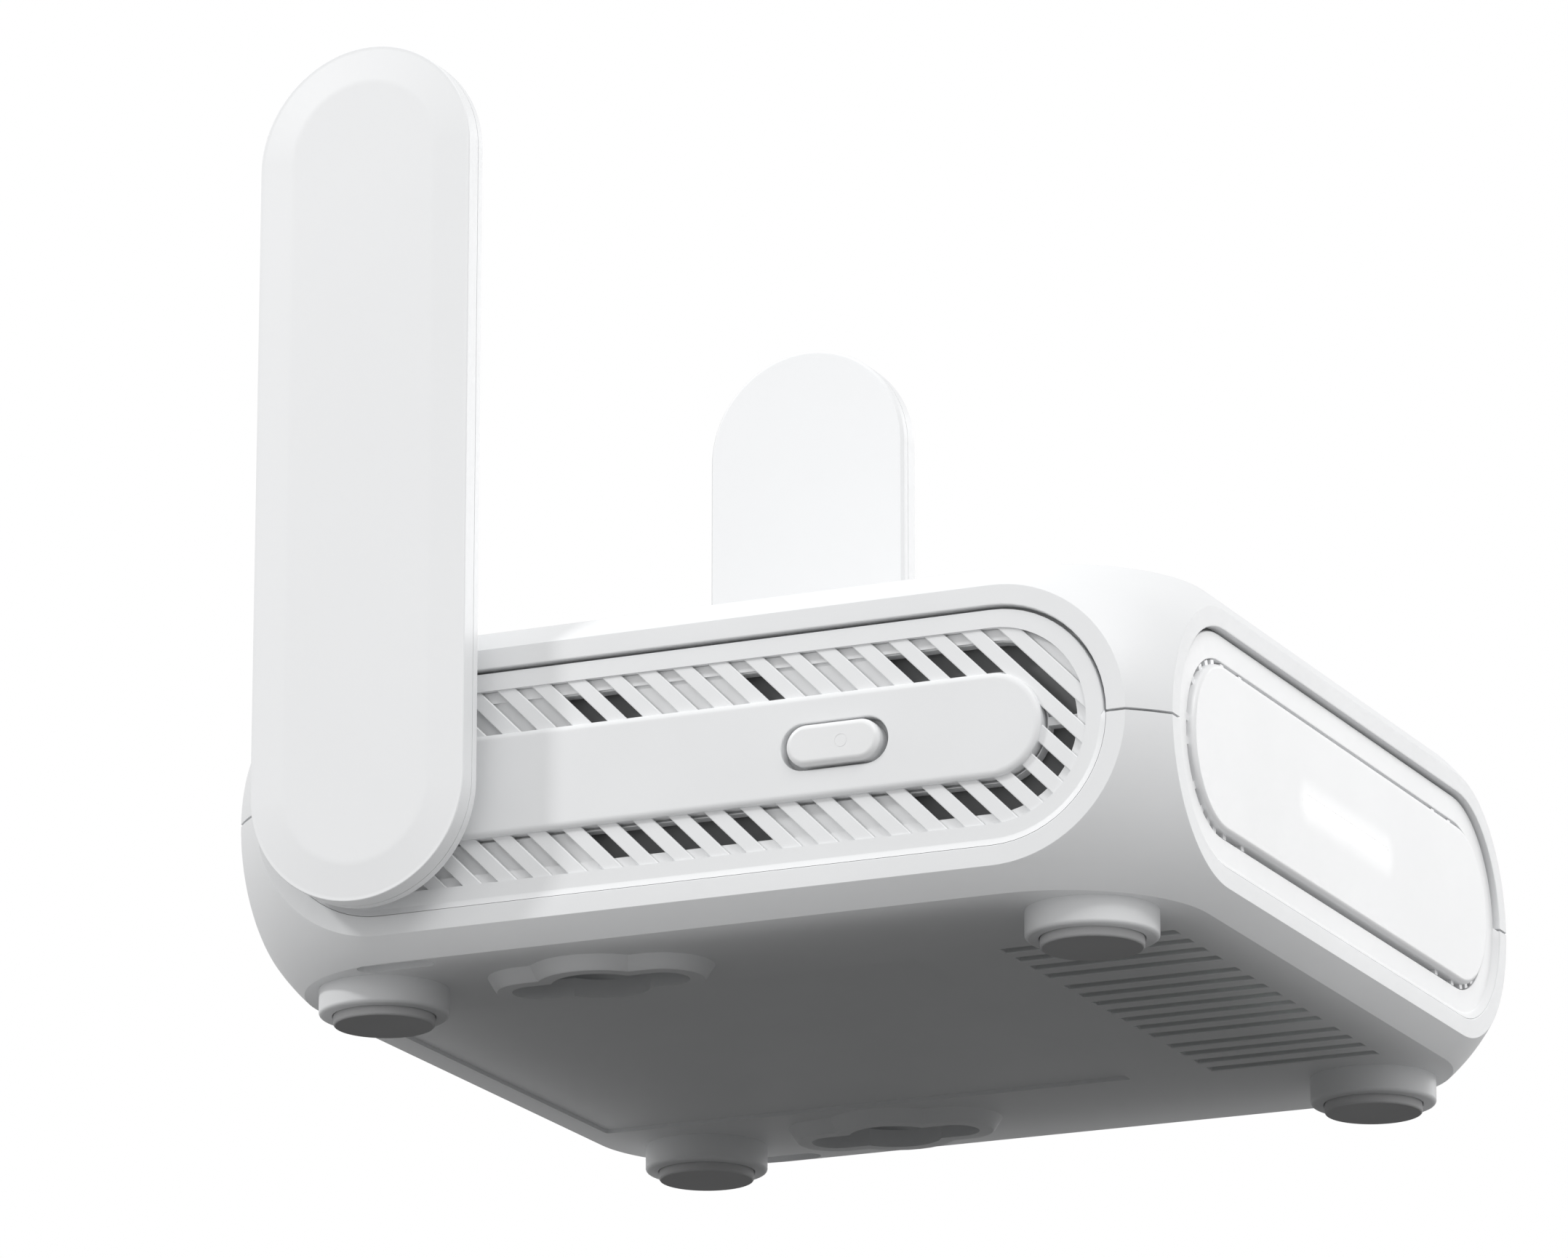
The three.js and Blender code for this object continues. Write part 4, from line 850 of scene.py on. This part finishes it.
def grille(frontward, with_button):
    hub_x = -frontward * REACH
    face = insert(SIDE_FACE, PLATE, 0.32)
    sunk = swept([(BORDER, SIDE_FACE - RIB_SINK), (BORDER, SIDE_FACE + PAST)])
    relief = rib_ring(frontward, BAND, BORDER + GAP, PLATE_BACK - PAST, RIB_BACK, HUB + PAST)
    made = join(cut(face, sunk, relief, slot_cutters(frontward)), band())
    seat = turned([(HUB, LINER_FRONT - GAP), (HUB, PLATE_BACK + 0.2)], hub_x, 0)
    made = join(made, seat)
    hole = turned([(SHAFT_HOLE, LINER_FRONT - 2), (SHAFT_HOLE, BAND_FACE + PAST)], hub_x, 0)
    made = cut(made, hole)
    if with_button:
        def pocket(length, width, grow):
            return lengthwise(MODE_PLACE, 0, length + 2 * grow, width + 2 * grow, 20)

        made = cut(made, flared(pocket, MODE_POCKET, PLATE_BACK - PAST, BAND_FACE, 0.22))
    return made


def liner(frontward, with_button):
    low = LINER_BACK - PAST
    high = SIDE_FACE + PAST
    clear = HUB + PAST + GAP
    plate = join(
        swept([(LINER, LINER_BACK), (LINER, LINER_FRONT)]),
        rib_ring(frontward, BAND + GAP, LEDGE, LINER_BACK + 0.2, BACKING_FACE, clear),
        rib_ring(frontward, LEDGE - 0.05, BORDER, LINER_BACK + 0.2, LEDGE_FACE, clear))
    cutters = []
    for windows, bottom, top in ((UPPER_WINDOWS, 0.5, OPENING), (LOWER_WINDOWS, -OPENING, -0.5)):
        for window in windows:
            start, end = [slot * SLOT_PITCH for slot in window]
            slanted = [(start - bottom, bottom), (end - bottom, bottom), (end - top, top), (start - top, top)]
            stretch = [(frontward * x, y) for x, y in slanted]
            ring = cut(swept([(WINDOW_OUTER, low), (WINDOW_OUTER, high)]),
                       swept([(WINDOW_INNER, low - PAST), (WINDOW_INNER, high + PAST)]))
            cutters.append(common(ring, loft((stretch, low - PAST), (stretch, high + PAST))))
    cutters.append(turned([(HUB + GAP, low), (HUB + GAP, high)], -frontward * REACH, 0))
    if with_button:
        outline = lengthwise(MODE_PLACE, 0, MODE_POCKET[0] + 2, MODE_POCKET[1] + 2, 12)
        cutters.append(loft((outline, low), (outline, high)))
    return cut(plate, *cutters)


def painted_shade_sheet(frontward):
    """Dark sheet behind the windows: painted shade that stands in for the unlit inside of the case."""
    inner = WINDOW_INNER - 0.6
    outer = WINDOW_OUTER + 1.2
    return rib_ring(frontward, inner, outer, PAINTED_SHADE_SHEET_FACE - 0.6, PAINTED_SHADE_SHEET_FACE, HUB + 2)


for name, side, frontward in (("left", left_frame, 1), ("right", right_frame, -1)):
    has_button = name == "left"
    # Dark sheet behind each grille's windows: painted shade
    case_piece(painted_shade_sheet(frontward), side, name + "_painted_shade_sheet", "liner_plastic", "painted_shade_grey")
    case_piece(grille(frontward, has_button), side, name + "_rib_grille",
               "case_plastic", "case_white", name + "_grille")
    case_piece(liner(frontward, has_button), side, name + "_backing",
               "liner_plastic", "liner_white", name + "_vent_liner")


def mode_key():
    run = (MODE_SIZE[0] - MODE_SIZE[1]) / 2

    def outline(grow):
        return lengthwise(MODE_PLACE, 0, MODE_SIZE[0] + 2 * grow, MODE_SIZE[1] + 2 * grow, 24)

    sections = [(outline(0), LINER_FRONT - 0.7)]
    sections += [(outline(radius), height) for radius, height in rounding(0, MODE_TOP, 0.7, 7)]
    cap = loft(*sections)
    flange = loft((outline(1.1), LINER_FRONT - 0.7), (outline(1.1), LINER_FRONT))
    stem = turned([(1.2, LINER_FRONT - 3.3), (1.2, LINER_FRONT - 0.5)], MODE_PLACE, 0, steps=24)
    mark = turned([(0.7, MODE_TOP - 0.03), (0.7, MODE_TOP + PAST), (0.8, MODE_TOP + PAST),
                   (0.8, MODE_TOP - 0.03)], MODE_PLACE + 0.35 * run, 0, closed=True, steps=32)
    return cut(join(cap, flange, stem), mark)


piece(moved(mode_key(), left_frame), "mode_key_cap", "mode_key",
      "button_white", ["mode_button"])

# ------------------------------------ front


def front_bezel():
    opening = flared(stadium, (FRONT_OPENING,), FLANGE_BACK - PAST, FRONT_FACE, 0.15)
    return cut(insert(FRONT_FACE, 1.0, 0.6), opening)


def plate_teeth():
    """Small blocks that bridge the gap round the plate."""
    half = TOOTH_WIDTH / 2
    low = FRONT_SHELF - 0.2
    high = FRONT_FACE - 0.15
    inner = FRONT_PLATE - 0.4
    outer = FRONT_OPENING - 0.1
    teeth = []
    for end, level in itertools.product((-1, 1), repeat=2):
        for degrees in TOOTH_TURNS:
            turn = level * math.radians(degrees)
            spin = Matrix.Rotation(turn if end > 0 else 2 * QUARTER - turn, 4, "Z")
            tooth = block((inner, -half, low), (outer, half, high))
            teeth.append(moved(tooth, Matrix.Translation((end * REACH, 0, 0)) @ spin))
        for place in TOOTH_PLACES:
            edges = sorted((level * inner, level * outer))
            x = end * place
            teeth.append(block((x - half, edges[0], low), (x + half, edges[1], high)))
    return teeth


def front_plate():
    profile = [(FRONT_PLATE, FRONT_SHELF - 0.4)] + rounding(FRONT_PLATE, FACE, 0.6, 7)
    plate = swept(profile)
    flange = swept([(LINER, FRONT_SHELF - 1.1), (LINER, FRONT_SHELF)])

    def outline(length, width, grow):
        low = (-length / 2 - grow, -width / 2 - grow)
        return rounded_rectangle(low, (-low[0], -low[1]), LIGHT_CORNER + grow, 5)

    slot = flared(outline, LIGHT_SLOT, FRONT_SHELF - 2.5, FACE, 0.12)
    return cut(join(plate, flange, *plate_teeth()), slot)


def light_bar():
    """Lens in the slot, on a plinth whose leg carries the light up from the board."""
    low, high = box_mm("light_bar")
    length = LIGHT_SLOT[0] / 2 - 0.12
    width = LIGHT_SLOT[1] / 2 - 0.12
    outer = FACE - LIGHT_SINK

    def outline(inset):
        corner = LIGHT_CORNER - 0.1 - inset / 2
        low = (-length + inset, -width + inset)
        return rounded_rectangle(low, (-low[0], -low[1]), corner, 5)

    plinth_front = FRONT_SHELF - 1.45
    plinth_back = plinth_front - 1.25
    inside = plinth_front - 0.55
    half = 2.5
    lens = loft((outline(0), inside), (outline(0), outer - 0.15), (outline(0.15), outer))
    back = rounded_rectangle((-length - 1.5, -half), (length + 1.5, half), 0.6, 4)
    plinth = loft((back, plinth_back), (back, plinth_front))
    leg = rounded_rectangle((-half, low.z - MID), (half, half), 0.3, 4)
    inner = -high.y
    foot = loft((leg, inner), (leg, inner + half))
    arm = rounded_rectangle((-half, -half), (half, half), 0.3, 4)
    neck = loft((arm, inner + 0.5), (arm, inside))
    return join(lens, plinth, foot, neck)


case_piece(front_bezel(), front_frame, "front_ring", "front_plastic", "front_white", "front_bezel")
# The front panel carries the painted glow round the light slot
case_piece(front_plate(), front_frame, "front_panel", "front_plastic", "front_painted_glow", "front_plate")
case_piece(light_bar(), front_frame, "light_lens", "light_diffuser", "light_white", "light_bar")

# ------------------------------------ rear

BOARD_LEVEL = box_mm("wan_jack")[0].z - MID
PORT_MOUTH = SIDE_FACE - 0.3
ETHERNET = (16.0, 13.4, 21.0)
ETHERNET_PLACES = [("wan_jack", -20.0), ("lan_jack", 0.0)]
PLUG_FLOOR = BOARD_LEVEL + 3.4
USB_PLACE = 20.0
USB = (13.2, 5.9, 14.0)
POWER_PLACE = -36.0
POWER = (9.0, 3.3, 7.4)
POWER_LEVEL = BOARD_LEVEL + POWER[1] / 2
RESET_PLACE = 34.0
RESET_LEVEL = BOARD_LEVEL + 2.6
RESET_RADIUS = 2.0
CONTACT_THICKNESS = 0.3


def rear_panel():
    low = FLANGE_BACK - PAST
    cutters = []

    def rectangle(left, bottom, right, top, grow):
        return rounded_rectangle((left - grow, bottom - grow), (right + grow, top + grow), 0.5 + grow, 5)

    openings = [(place, ETHERNET) for _, place in ETHERNET_PLACES] + [(USB_PLACE, USB)]
    for place, (width, height, _) in openings:
        left = place - width / 2 - GAP
        right = place + width / 2 + GAP
        sides = (left, BOARD_LEVEL - GAP, right, BOARD_LEVEL + height + GAP)
        cutters.append(flared(rectangle, sides, low, SIDE_FACE, 0.2))

    def slot(length, width, grow):
        return lengthwise(POWER_PLACE, POWER_LEVEL, length + 2 * grow, width + 2 * grow, 16)

    cutters.append(flared(slot, (POWER[0] + 2 * GAP, POWER[1] + 2 * GAP), low, SIDE_FACE, 0.2))

    def hole(radius, grow):
        return circle(RESET_PLACE, RESET_LEVEL, radius + grow, 40)

    cutters.append(flared(hole, (RESET_RADIUS + GAP,), low, SIDE_FACE, 0.2))
    return cut(insert(SIDE_FACE, PLATE, 0.32), *cutters)


def socket_body(place, size, corner, edge):
    """Rounded box that stands on the board, chamfered round its mouth."""
    width, height, depth = size
    sections = []
    for inset, level in ((0, PORT_MOUTH - depth), (0, PORT_MOUTH - edge), (edge, PORT_MOUTH)):
        low = (place - width / 2 + inset, BOARD_LEVEL + inset)
        high = (place + width / 2 - inset, BOARD_LEVEL + height - inset)
        sections.append((rounded_rectangle(low, high, corner, 4), level))
    return loft(*sections)


def tongue(low, high, back, front, inset, corner):
    """Flat bar inside a socket; inset says how much its front end narrows, and over what length."""
    full = rounded_rectangle(low, high, 0.2, 3)
    slim = rounded_rectangle((low[0] + inset[0], low[1] + inset[1]),
                             (high[0] - inset[0], high[1] - inset[1]), corner, 3)
    return loft((full, back), (full, front - inset[2]), (slim, front))


def ethernet_jack(place):
    """Housing with room for a plug, its latch and the latch's keeper."""
    body = socket_body(place, ETHERNET, 0.4, 0.15)
    depth = PORT_MOUTH - 13
    out = PORT_MOUTH + PAST
    plug = block((place - 6, PLUG_FLOOR, depth), (place + 6, PLUG_FLOOR + 8.6, out))
    latch = block((place - 3.1, PLUG_FLOOR - 2.2, depth), (place + 3.1, PLUG_FLOOR + GAP, out))
    keeper = block((place - 1.6, PLUG_FLOOR - 2.8, depth + 6), (place + 1.6, PLUG_FLOOR - 1.8, out))
    return cut(body, plug, latch, keeper)


def contact_row(place, count, pitch, root, tip, level, drop, width=0.5):
    """Sprung contacts side by side: they lie flat, then dip towards the plug."""
    flat_share = 0.35
    path = [(root, level), (root + flat_share * (tip - root), level - 0.1), (tip, level - drop)]
    wires = []
    for i in range(count):
        x = place + (i - (count - 1) / 2) * pitch
        left = x - width / 2
        right = x + width / 2
        rings = []
        for depth, height in path:
            bottom = height - CONTACT_THICKNESS / 2
            top = height + CONTACT_THICKNESS / 2
            corners = [(left, bottom), (right, bottom), (right, top), (left, top)]
            rings.append([(side, edge, depth) for side, edge in corners])
        wires.append(solid(rings))
    return gathered(wires)


def usb_shell():
    half = USB[0] / 2
    wall = 0.4
    low = (USB_PLACE - half + wall, BOARD_LEVEL + wall)
    inner = rounded_rectangle(low, (USB_PLACE + half - wall, BOARD_LEVEL + USB[1] - wall), 0.3, 4)
    hollow = loft((inner, PORT_MOUTH - USB[2] + 1.5), (inner, PORT_MOUTH + PAST))
    return cut(socket_body(USB_PLACE, USB, 0.6, 0.12), hollow)


def usb_tongue():
    top = BOARD_LEVEL + USB[1] - 0.9
    low = (USB_PLACE - 5.5, top - 1.9)
    high = (USB_PLACE + 5.5, top)
    return tongue(low, high, PORT_MOUTH - USB[2] + 1.8, PORT_MOUTH - 1.5, (0.3, 0.3, 0.4), 0.2)


def power_shell():
    back = PORT_MOUTH - POWER[2]
    wall = 0.35
    outer = lengthwise(POWER_PLACE, POWER_LEVEL, POWER[0], POWER[1], 20)
    rim = lengthwise(POWER_PLACE, POWER_LEVEL, POWER[0] - 0.16, POWER[1] - 0.16, 20)
    inner = lengthwise(POWER_PLACE, POWER_LEVEL, POWER[0] - 2 * wall, POWER[1] - 2 * wall, 20)
    body = loft((outer, back), (outer, PORT_MOUTH - 0.08), (rim, PORT_MOUTH))
    return cut(body, loft((inner, back + 1), (inner, PORT_MOUTH + PAST)))


def power_tongue():
    low = (POWER_PLACE - 3.2, POWER_LEVEL - 0.35)
    high = (POWER_PLACE + 3.2, POWER_LEVEL + 0.35)
    return tongue(low, high, PORT_MOUTH - POWER[2] + 1.3, PORT_MOUTH - 1.0, (0.2, 0.15, 0.3), 0.15)


def reset_key():
    stem_end = LINER_FRONT - 3.3
    flange = RESET_RADIUS + 0.9
    profile = [(1.1, stem_end), (1.1, LINER_FRONT - 0.7), (flange, LINER_FRONT - 0.7), (flange, LINER_FRONT),
               (RESET_RADIUS, LINER_FRONT)]
    profile += rounding(RESET_RADIUS, SIDE_FACE + 0.3, 0.4, 5)
    profile += [(0.9, SIDE_FACE + 0.18), (0.4, SIDE_FACE + 0.14)]
    return turned(profile, RESET_PLACE, RESET_LEVEL)


case_piece(rear_panel(), rear_frame, "rear_plate", "case_plastic", "case_white", "rear_panel")
for name, place in ETHERNET_PLACES:
    case_piece(ethernet_jack(place), rear_frame, name + "_housing", "port_plastic", "port_black", name)
    contacts = contact_row(place, 8, 1.02, PORT_MOUTH - 12.6, PORT_MOUTH - 3.5, PLUG_FLOOR + 8.3, 3.2)
    case_piece(contacts, rear_frame, name + "_contacts", "plated_steel", "gold", clean=False)
case_piece(usb_shell(), rear_frame, "usb_shell", "plated_steel", "steel", "usb_jack")
case_piece(usb_tongue(), rear_frame, "usb_tongue", "port_plastic", "port_black")
usb_contacts = contact_row(
    USB_PLACE, 4, 2.3, PORT_MOUTH - 11.5, PORT_MOUTH - 2.2, BOARD_LEVEL + USB[1] - 2.85, 0.1, 1.0)
case_piece(usb_contacts, rear_frame, "usb_contacts", "plated_steel", "gold", clean=False)
case_piece(power_shell(), rear_frame, "power_shell", "plated_steel", "steel", "power_jack")
case_piece(power_tongue(), rear_frame, "power_tongue", "port_plastic", "port_black")
piece(moved(reset_key(), rear_frame), "reset_key_cap", "reset_key",
      "port_black", ["reset_button"])

# ------------------------------------ antennas


def paddle(radius):
    return capsule((0, 0), (0, PADDLE_SPAN), radius, 48)


def outer_shell():
    low = PADDLE_SEAM + PADDLE_CREVICE
    edge = 0.15
    slope_start = PADDLE - edge - 0.15
    slope_end = PADDLE - CROWN_WIDTH
    soft = 0.7
    rise = PADDLE_FACE - PADDLE_EDGE
    sections = [(paddle(PADDLE), low)]
    sections += [(paddle(radius), height) for radius, height in rounding(PADDLE, PADDLE_EDGE, edge, 6)]
    run = slope_start - slope_end
    slope = [(0.0, 0.0), (0.06, 0.03), (1 - soft / run, 0.91), (1 - 0.45 * soft / run, 0.98), (1.0, 1.0)]
    for share, lift in slope:
        sections.append((paddle(slope_start - share * run), PADDLE_EDGE + rise * lift))
    outside = loft(*sections)
    hollow_face = PADDLE_EDGE - PADDLE_WALL
    hollow = loft((paddle(PADDLE - PADDLE_WALL), low - PAST), (paddle(PADDLE - PADDLE_WALL), hollow_face))
    return cut(outside, hollow)


def inner_shell():
    """Back half of an antenna, with a lip that stands inside the front half's edge."""
    inner = PADDLE - PADDLE_WALL
    lip = inner - 0.15
    chamfer = PADDLE_CHAMFER
    soft = 0.15
    slope = [(chamfer + soft, 0), (chamfer - 0.3 * soft, 0.3 * soft), (0.7 * soft, chamfer - 0.3 * soft)]
    slope += [(0, chamfer + soft), (0, PADDLE_SEAM - PADDLE_BACK)]
    outside = loft(*[(paddle(PADDLE - inset), PADDLE_BACK + rise) for inset, rise in slope])
    rim = cut(loft((paddle(lip), PADDLE_SEAM - 0.4), (paddle(lip), PADDLE_SEAM + 0.75)),
              loft((paddle(lip - 0.7), PADDLE_SEAM - PAST), (paddle(lip - 0.7), PADDLE_SEAM + PAST)))
    hollow = loft((paddle(lip - 0.7), PADDLE_BACK + PADDLE_WALL), (paddle(lip - 0.7), PADDLE_SEAM + PAST))
    hole = turned([(3.9, PADDLE_BACK - PAST), (3.9, PADDLE_SEAM)])
    return cut(join(outside, rim), hollow, hole)


def hinge_hub():
    """Hub and shaft: rounded collar outside the case, grooved shaft inside it."""
    shaft = 4.6
    bore = 1.5
    sleeve = 3.6
    seat = BAND_FACE + GAP
    back = PADDLE_BACK - 0.15
    washer_top = LINER_FRONT - 2 * GAP
    clip_top = washer_top - 0.7 - GAP
    end = clip_top - 1.5
    groove = shaft - 0.6
    profile = [(bore, end), (shaft - 0.4, end), (shaft, end + 0.4), (shaft, clip_top - 0.7)]
    profile += [(groove, clip_top - 0.7), (groove, clip_top + 0.1), (shaft, clip_top + 0.1), (shaft, seat)]
    collar = 0.25
    top = PADDLE_BACK + PADDLE_WALL + GAP
    profile += [(HUB - collar, seat), (HUB, seat + collar), (HUB, back), (sleeve, back)]
    profile += [(sleeve, top), (bore, top)]
    return turned(profile, closed=True)


for name, side, frontward in (("left", left_frame, 1), ("right", right_frame, -1)):
    body = name + "_antenna"
    place = side @ Matrix.Translation((-frontward * REACH, 0, 0))
    piece(moved(outer_shell(), place), name + "_paddle_face", body, "antenna_white",
          [name + "_antenna_outer_shell"])
    piece(moved(inner_shell(), place), name + "_paddle_back", body, "antenna_white",
          [name + "_antenna_inner_shell"])
    piece(moved(hinge_hub(), place), name + "_hub", body, "antenna_white",
          [name + "_hinge_hub"])

# ------------------------------------ pieces that keep their CAD shape

kept = {
    "main_board": "board_green",
    "processor": "chip_epoxy",
    "memory_chip": "chip_epoxy",
    "thermal_pad": "silicone_pad",
    "heat_sink": "aluminium",
    "radio_shield": "steel",
    "status_led": "light_white",
    "mode_switch": "port_black",
    "reset_switch": "port_black",
}
for name, _, _ in feet:
    kept["case_screw_" + name] = "steel"
for name in ("left", "right"):
    kept[name + "_antenna_radiator"] = "board_green"
    kept[name + "_antenna_pigtail"] = "cable_black"
    kept[name + "_hinge_washer"] = "steel"
    kept[name + "_hinge_clip"] = "steel"
    kept[name + "_coax_socket"] = "gold"
    kept[name + "_coax_lead"] = "cable_black"

for node, material in kept.items():
    for material_slot in frame["nodes"][node].material_slots:
        material_slot.material = materials[material]

# ------------------------------------ camera, light and floor

CAMERA_AZIMUTH = math.radians(-65.596)
CAMERA_ELEVATION = math.radians(-16.36)
CAMERA_PLACE = (-0.93243, -0.40924, -0.24376)
LENS = 200.64
SENSOR = 36.0

back = Vector((
    math.sin(CAMERA_AZIMUTH) * math.cos(CAMERA_ELEVATION),
    -math.cos(CAMERA_AZIMUTH) * math.cos(CAMERA_ELEVATION),
    math.sin(CAMERA_ELEVATION),
))
camera_data = bpy.data.cameras.new("camera")
camera_data.lens = LENS
camera_data.sensor_width = SENSOR
camera_data.clip_start = 0.01
camera_data.clip_end = 50
camera = bpy.data.objects.new("camera", camera_data)
camera.location = CAMERA_PLACE
camera.rotation_euler = (-back).to_track_quat("-Z", "Y").to_euler()
bpy.context.scene.collection.objects.link(camera)
bpy.context.scene.camera = camera


MIDDLE = (0, 0, 0.03)
SKY_STRENGTH = 0.74
FLOOR_BOUNCE = 0.3
FLOOR_TONE = 0.74
FLOOR_GLOW = 0.09


def area_light(name, place, size, power):
    data = bpy.data.lights.new(name, "AREA")
    data.shape = "DISK"
    data.size = size
    data.energy = power
    light = bpy.data.objects.new(name, data)
    light.location = place
    light.rotation_euler = (Vector(MIDDLE) - Vector(place)).to_track_quat("-Z", "Y").to_euler()
    bpy.context.scene.collection.objects.link(light)


area_light("key", (-0.78, 1.0, 0.9), 0.2, 6.9)
area_light("corner_soft", (-0.8, -0.9, 1.3), 0.8, 10.8)
area_light("front_soft", (1.4, -0.6, 0.6), 0.8, 4.0)


def studio_sky():
    """Even white light all round, in front of a plain white backdrop."""
    world = bpy.data.worlds.new("studio")
    world.use_nodes = True
    nodes = world.node_tree.nodes
    links = world.node_tree.links
    sky = nodes["Background"]
    backdrop = nodes.new("ShaderNodeBackground")
    for background, strength in ((sky, SKY_STRENGTH), (backdrop, 1.0)):
        background.inputs["Color"].default_value = WHITE
        background.inputs["Strength"].default_value = strength
    paths = nodes.new("ShaderNodeLightPath")
    choice = nodes.new("ShaderNodeMixShader")
    links.new(paths.outputs["Is Camera Ray"], choice.inputs["Fac"])
    links.new(sky.outputs["Background"], choice.inputs[1])
    links.new(backdrop.outputs["Background"], choice.inputs[2])
    links.new(choice.outputs["Shader"], nodes["World Output"].inputs["Surface"])
    bpy.context.scene.world = world


def studio_floor(radius=4.0):
    """Pale disc under the feet; seen from below it lets the view through to the underside."""
    bm = bmesh.new()
    bmesh.ops.create_circle(bm, cap_ends=True, segments=96, radius=radius)
    floor = held(bm)
    floor.name = "floor"
    nodes, links, shader = started("floor_pale")
    paths = nodes.new("ShaderNodeLightPath")
    tone = nodes.new("ShaderNodeMapRange")
    tone.inputs["To Min"].default_value = FLOOR_BOUNCE
    tone.inputs["To Max"].default_value = FLOOR_TONE
    links.new(paths.outputs["Is Camera Ray"], tone.inputs["Value"])
    links.new(tone.outputs["Result"], shader.inputs["Base Color"])
    shader.inputs["Roughness"].default_value = 0.7
    shader.inputs["Specular IOR Level"].default_value = 0.1
    shader.inputs["Emission Color"].default_value = WHITE
    shader.inputs["Emission Strength"].default_value = FLOOR_GLOW
    clear = nodes.new("ShaderNodeBsdfTransparent")
    which = nodes.new("ShaderNodeNewGeometry")
    mix = nodes.new("ShaderNodeMixShader")
    links.new(which.outputs["Backfacing"], mix.inputs["Fac"])
    links.new(shader.outputs["BSDF"], mix.inputs[1])
    links.new(clear.outputs["BSDF"], mix.inputs[2])
    links.new(mix.outputs["Shader"], nodes["Material Output"].inputs["Surface"])
    floor.data.materials.append(materials["floor_pale"])


studio_sky()
studio_floor()
bpy.context.scene.view_settings.view_transform = "Standard"
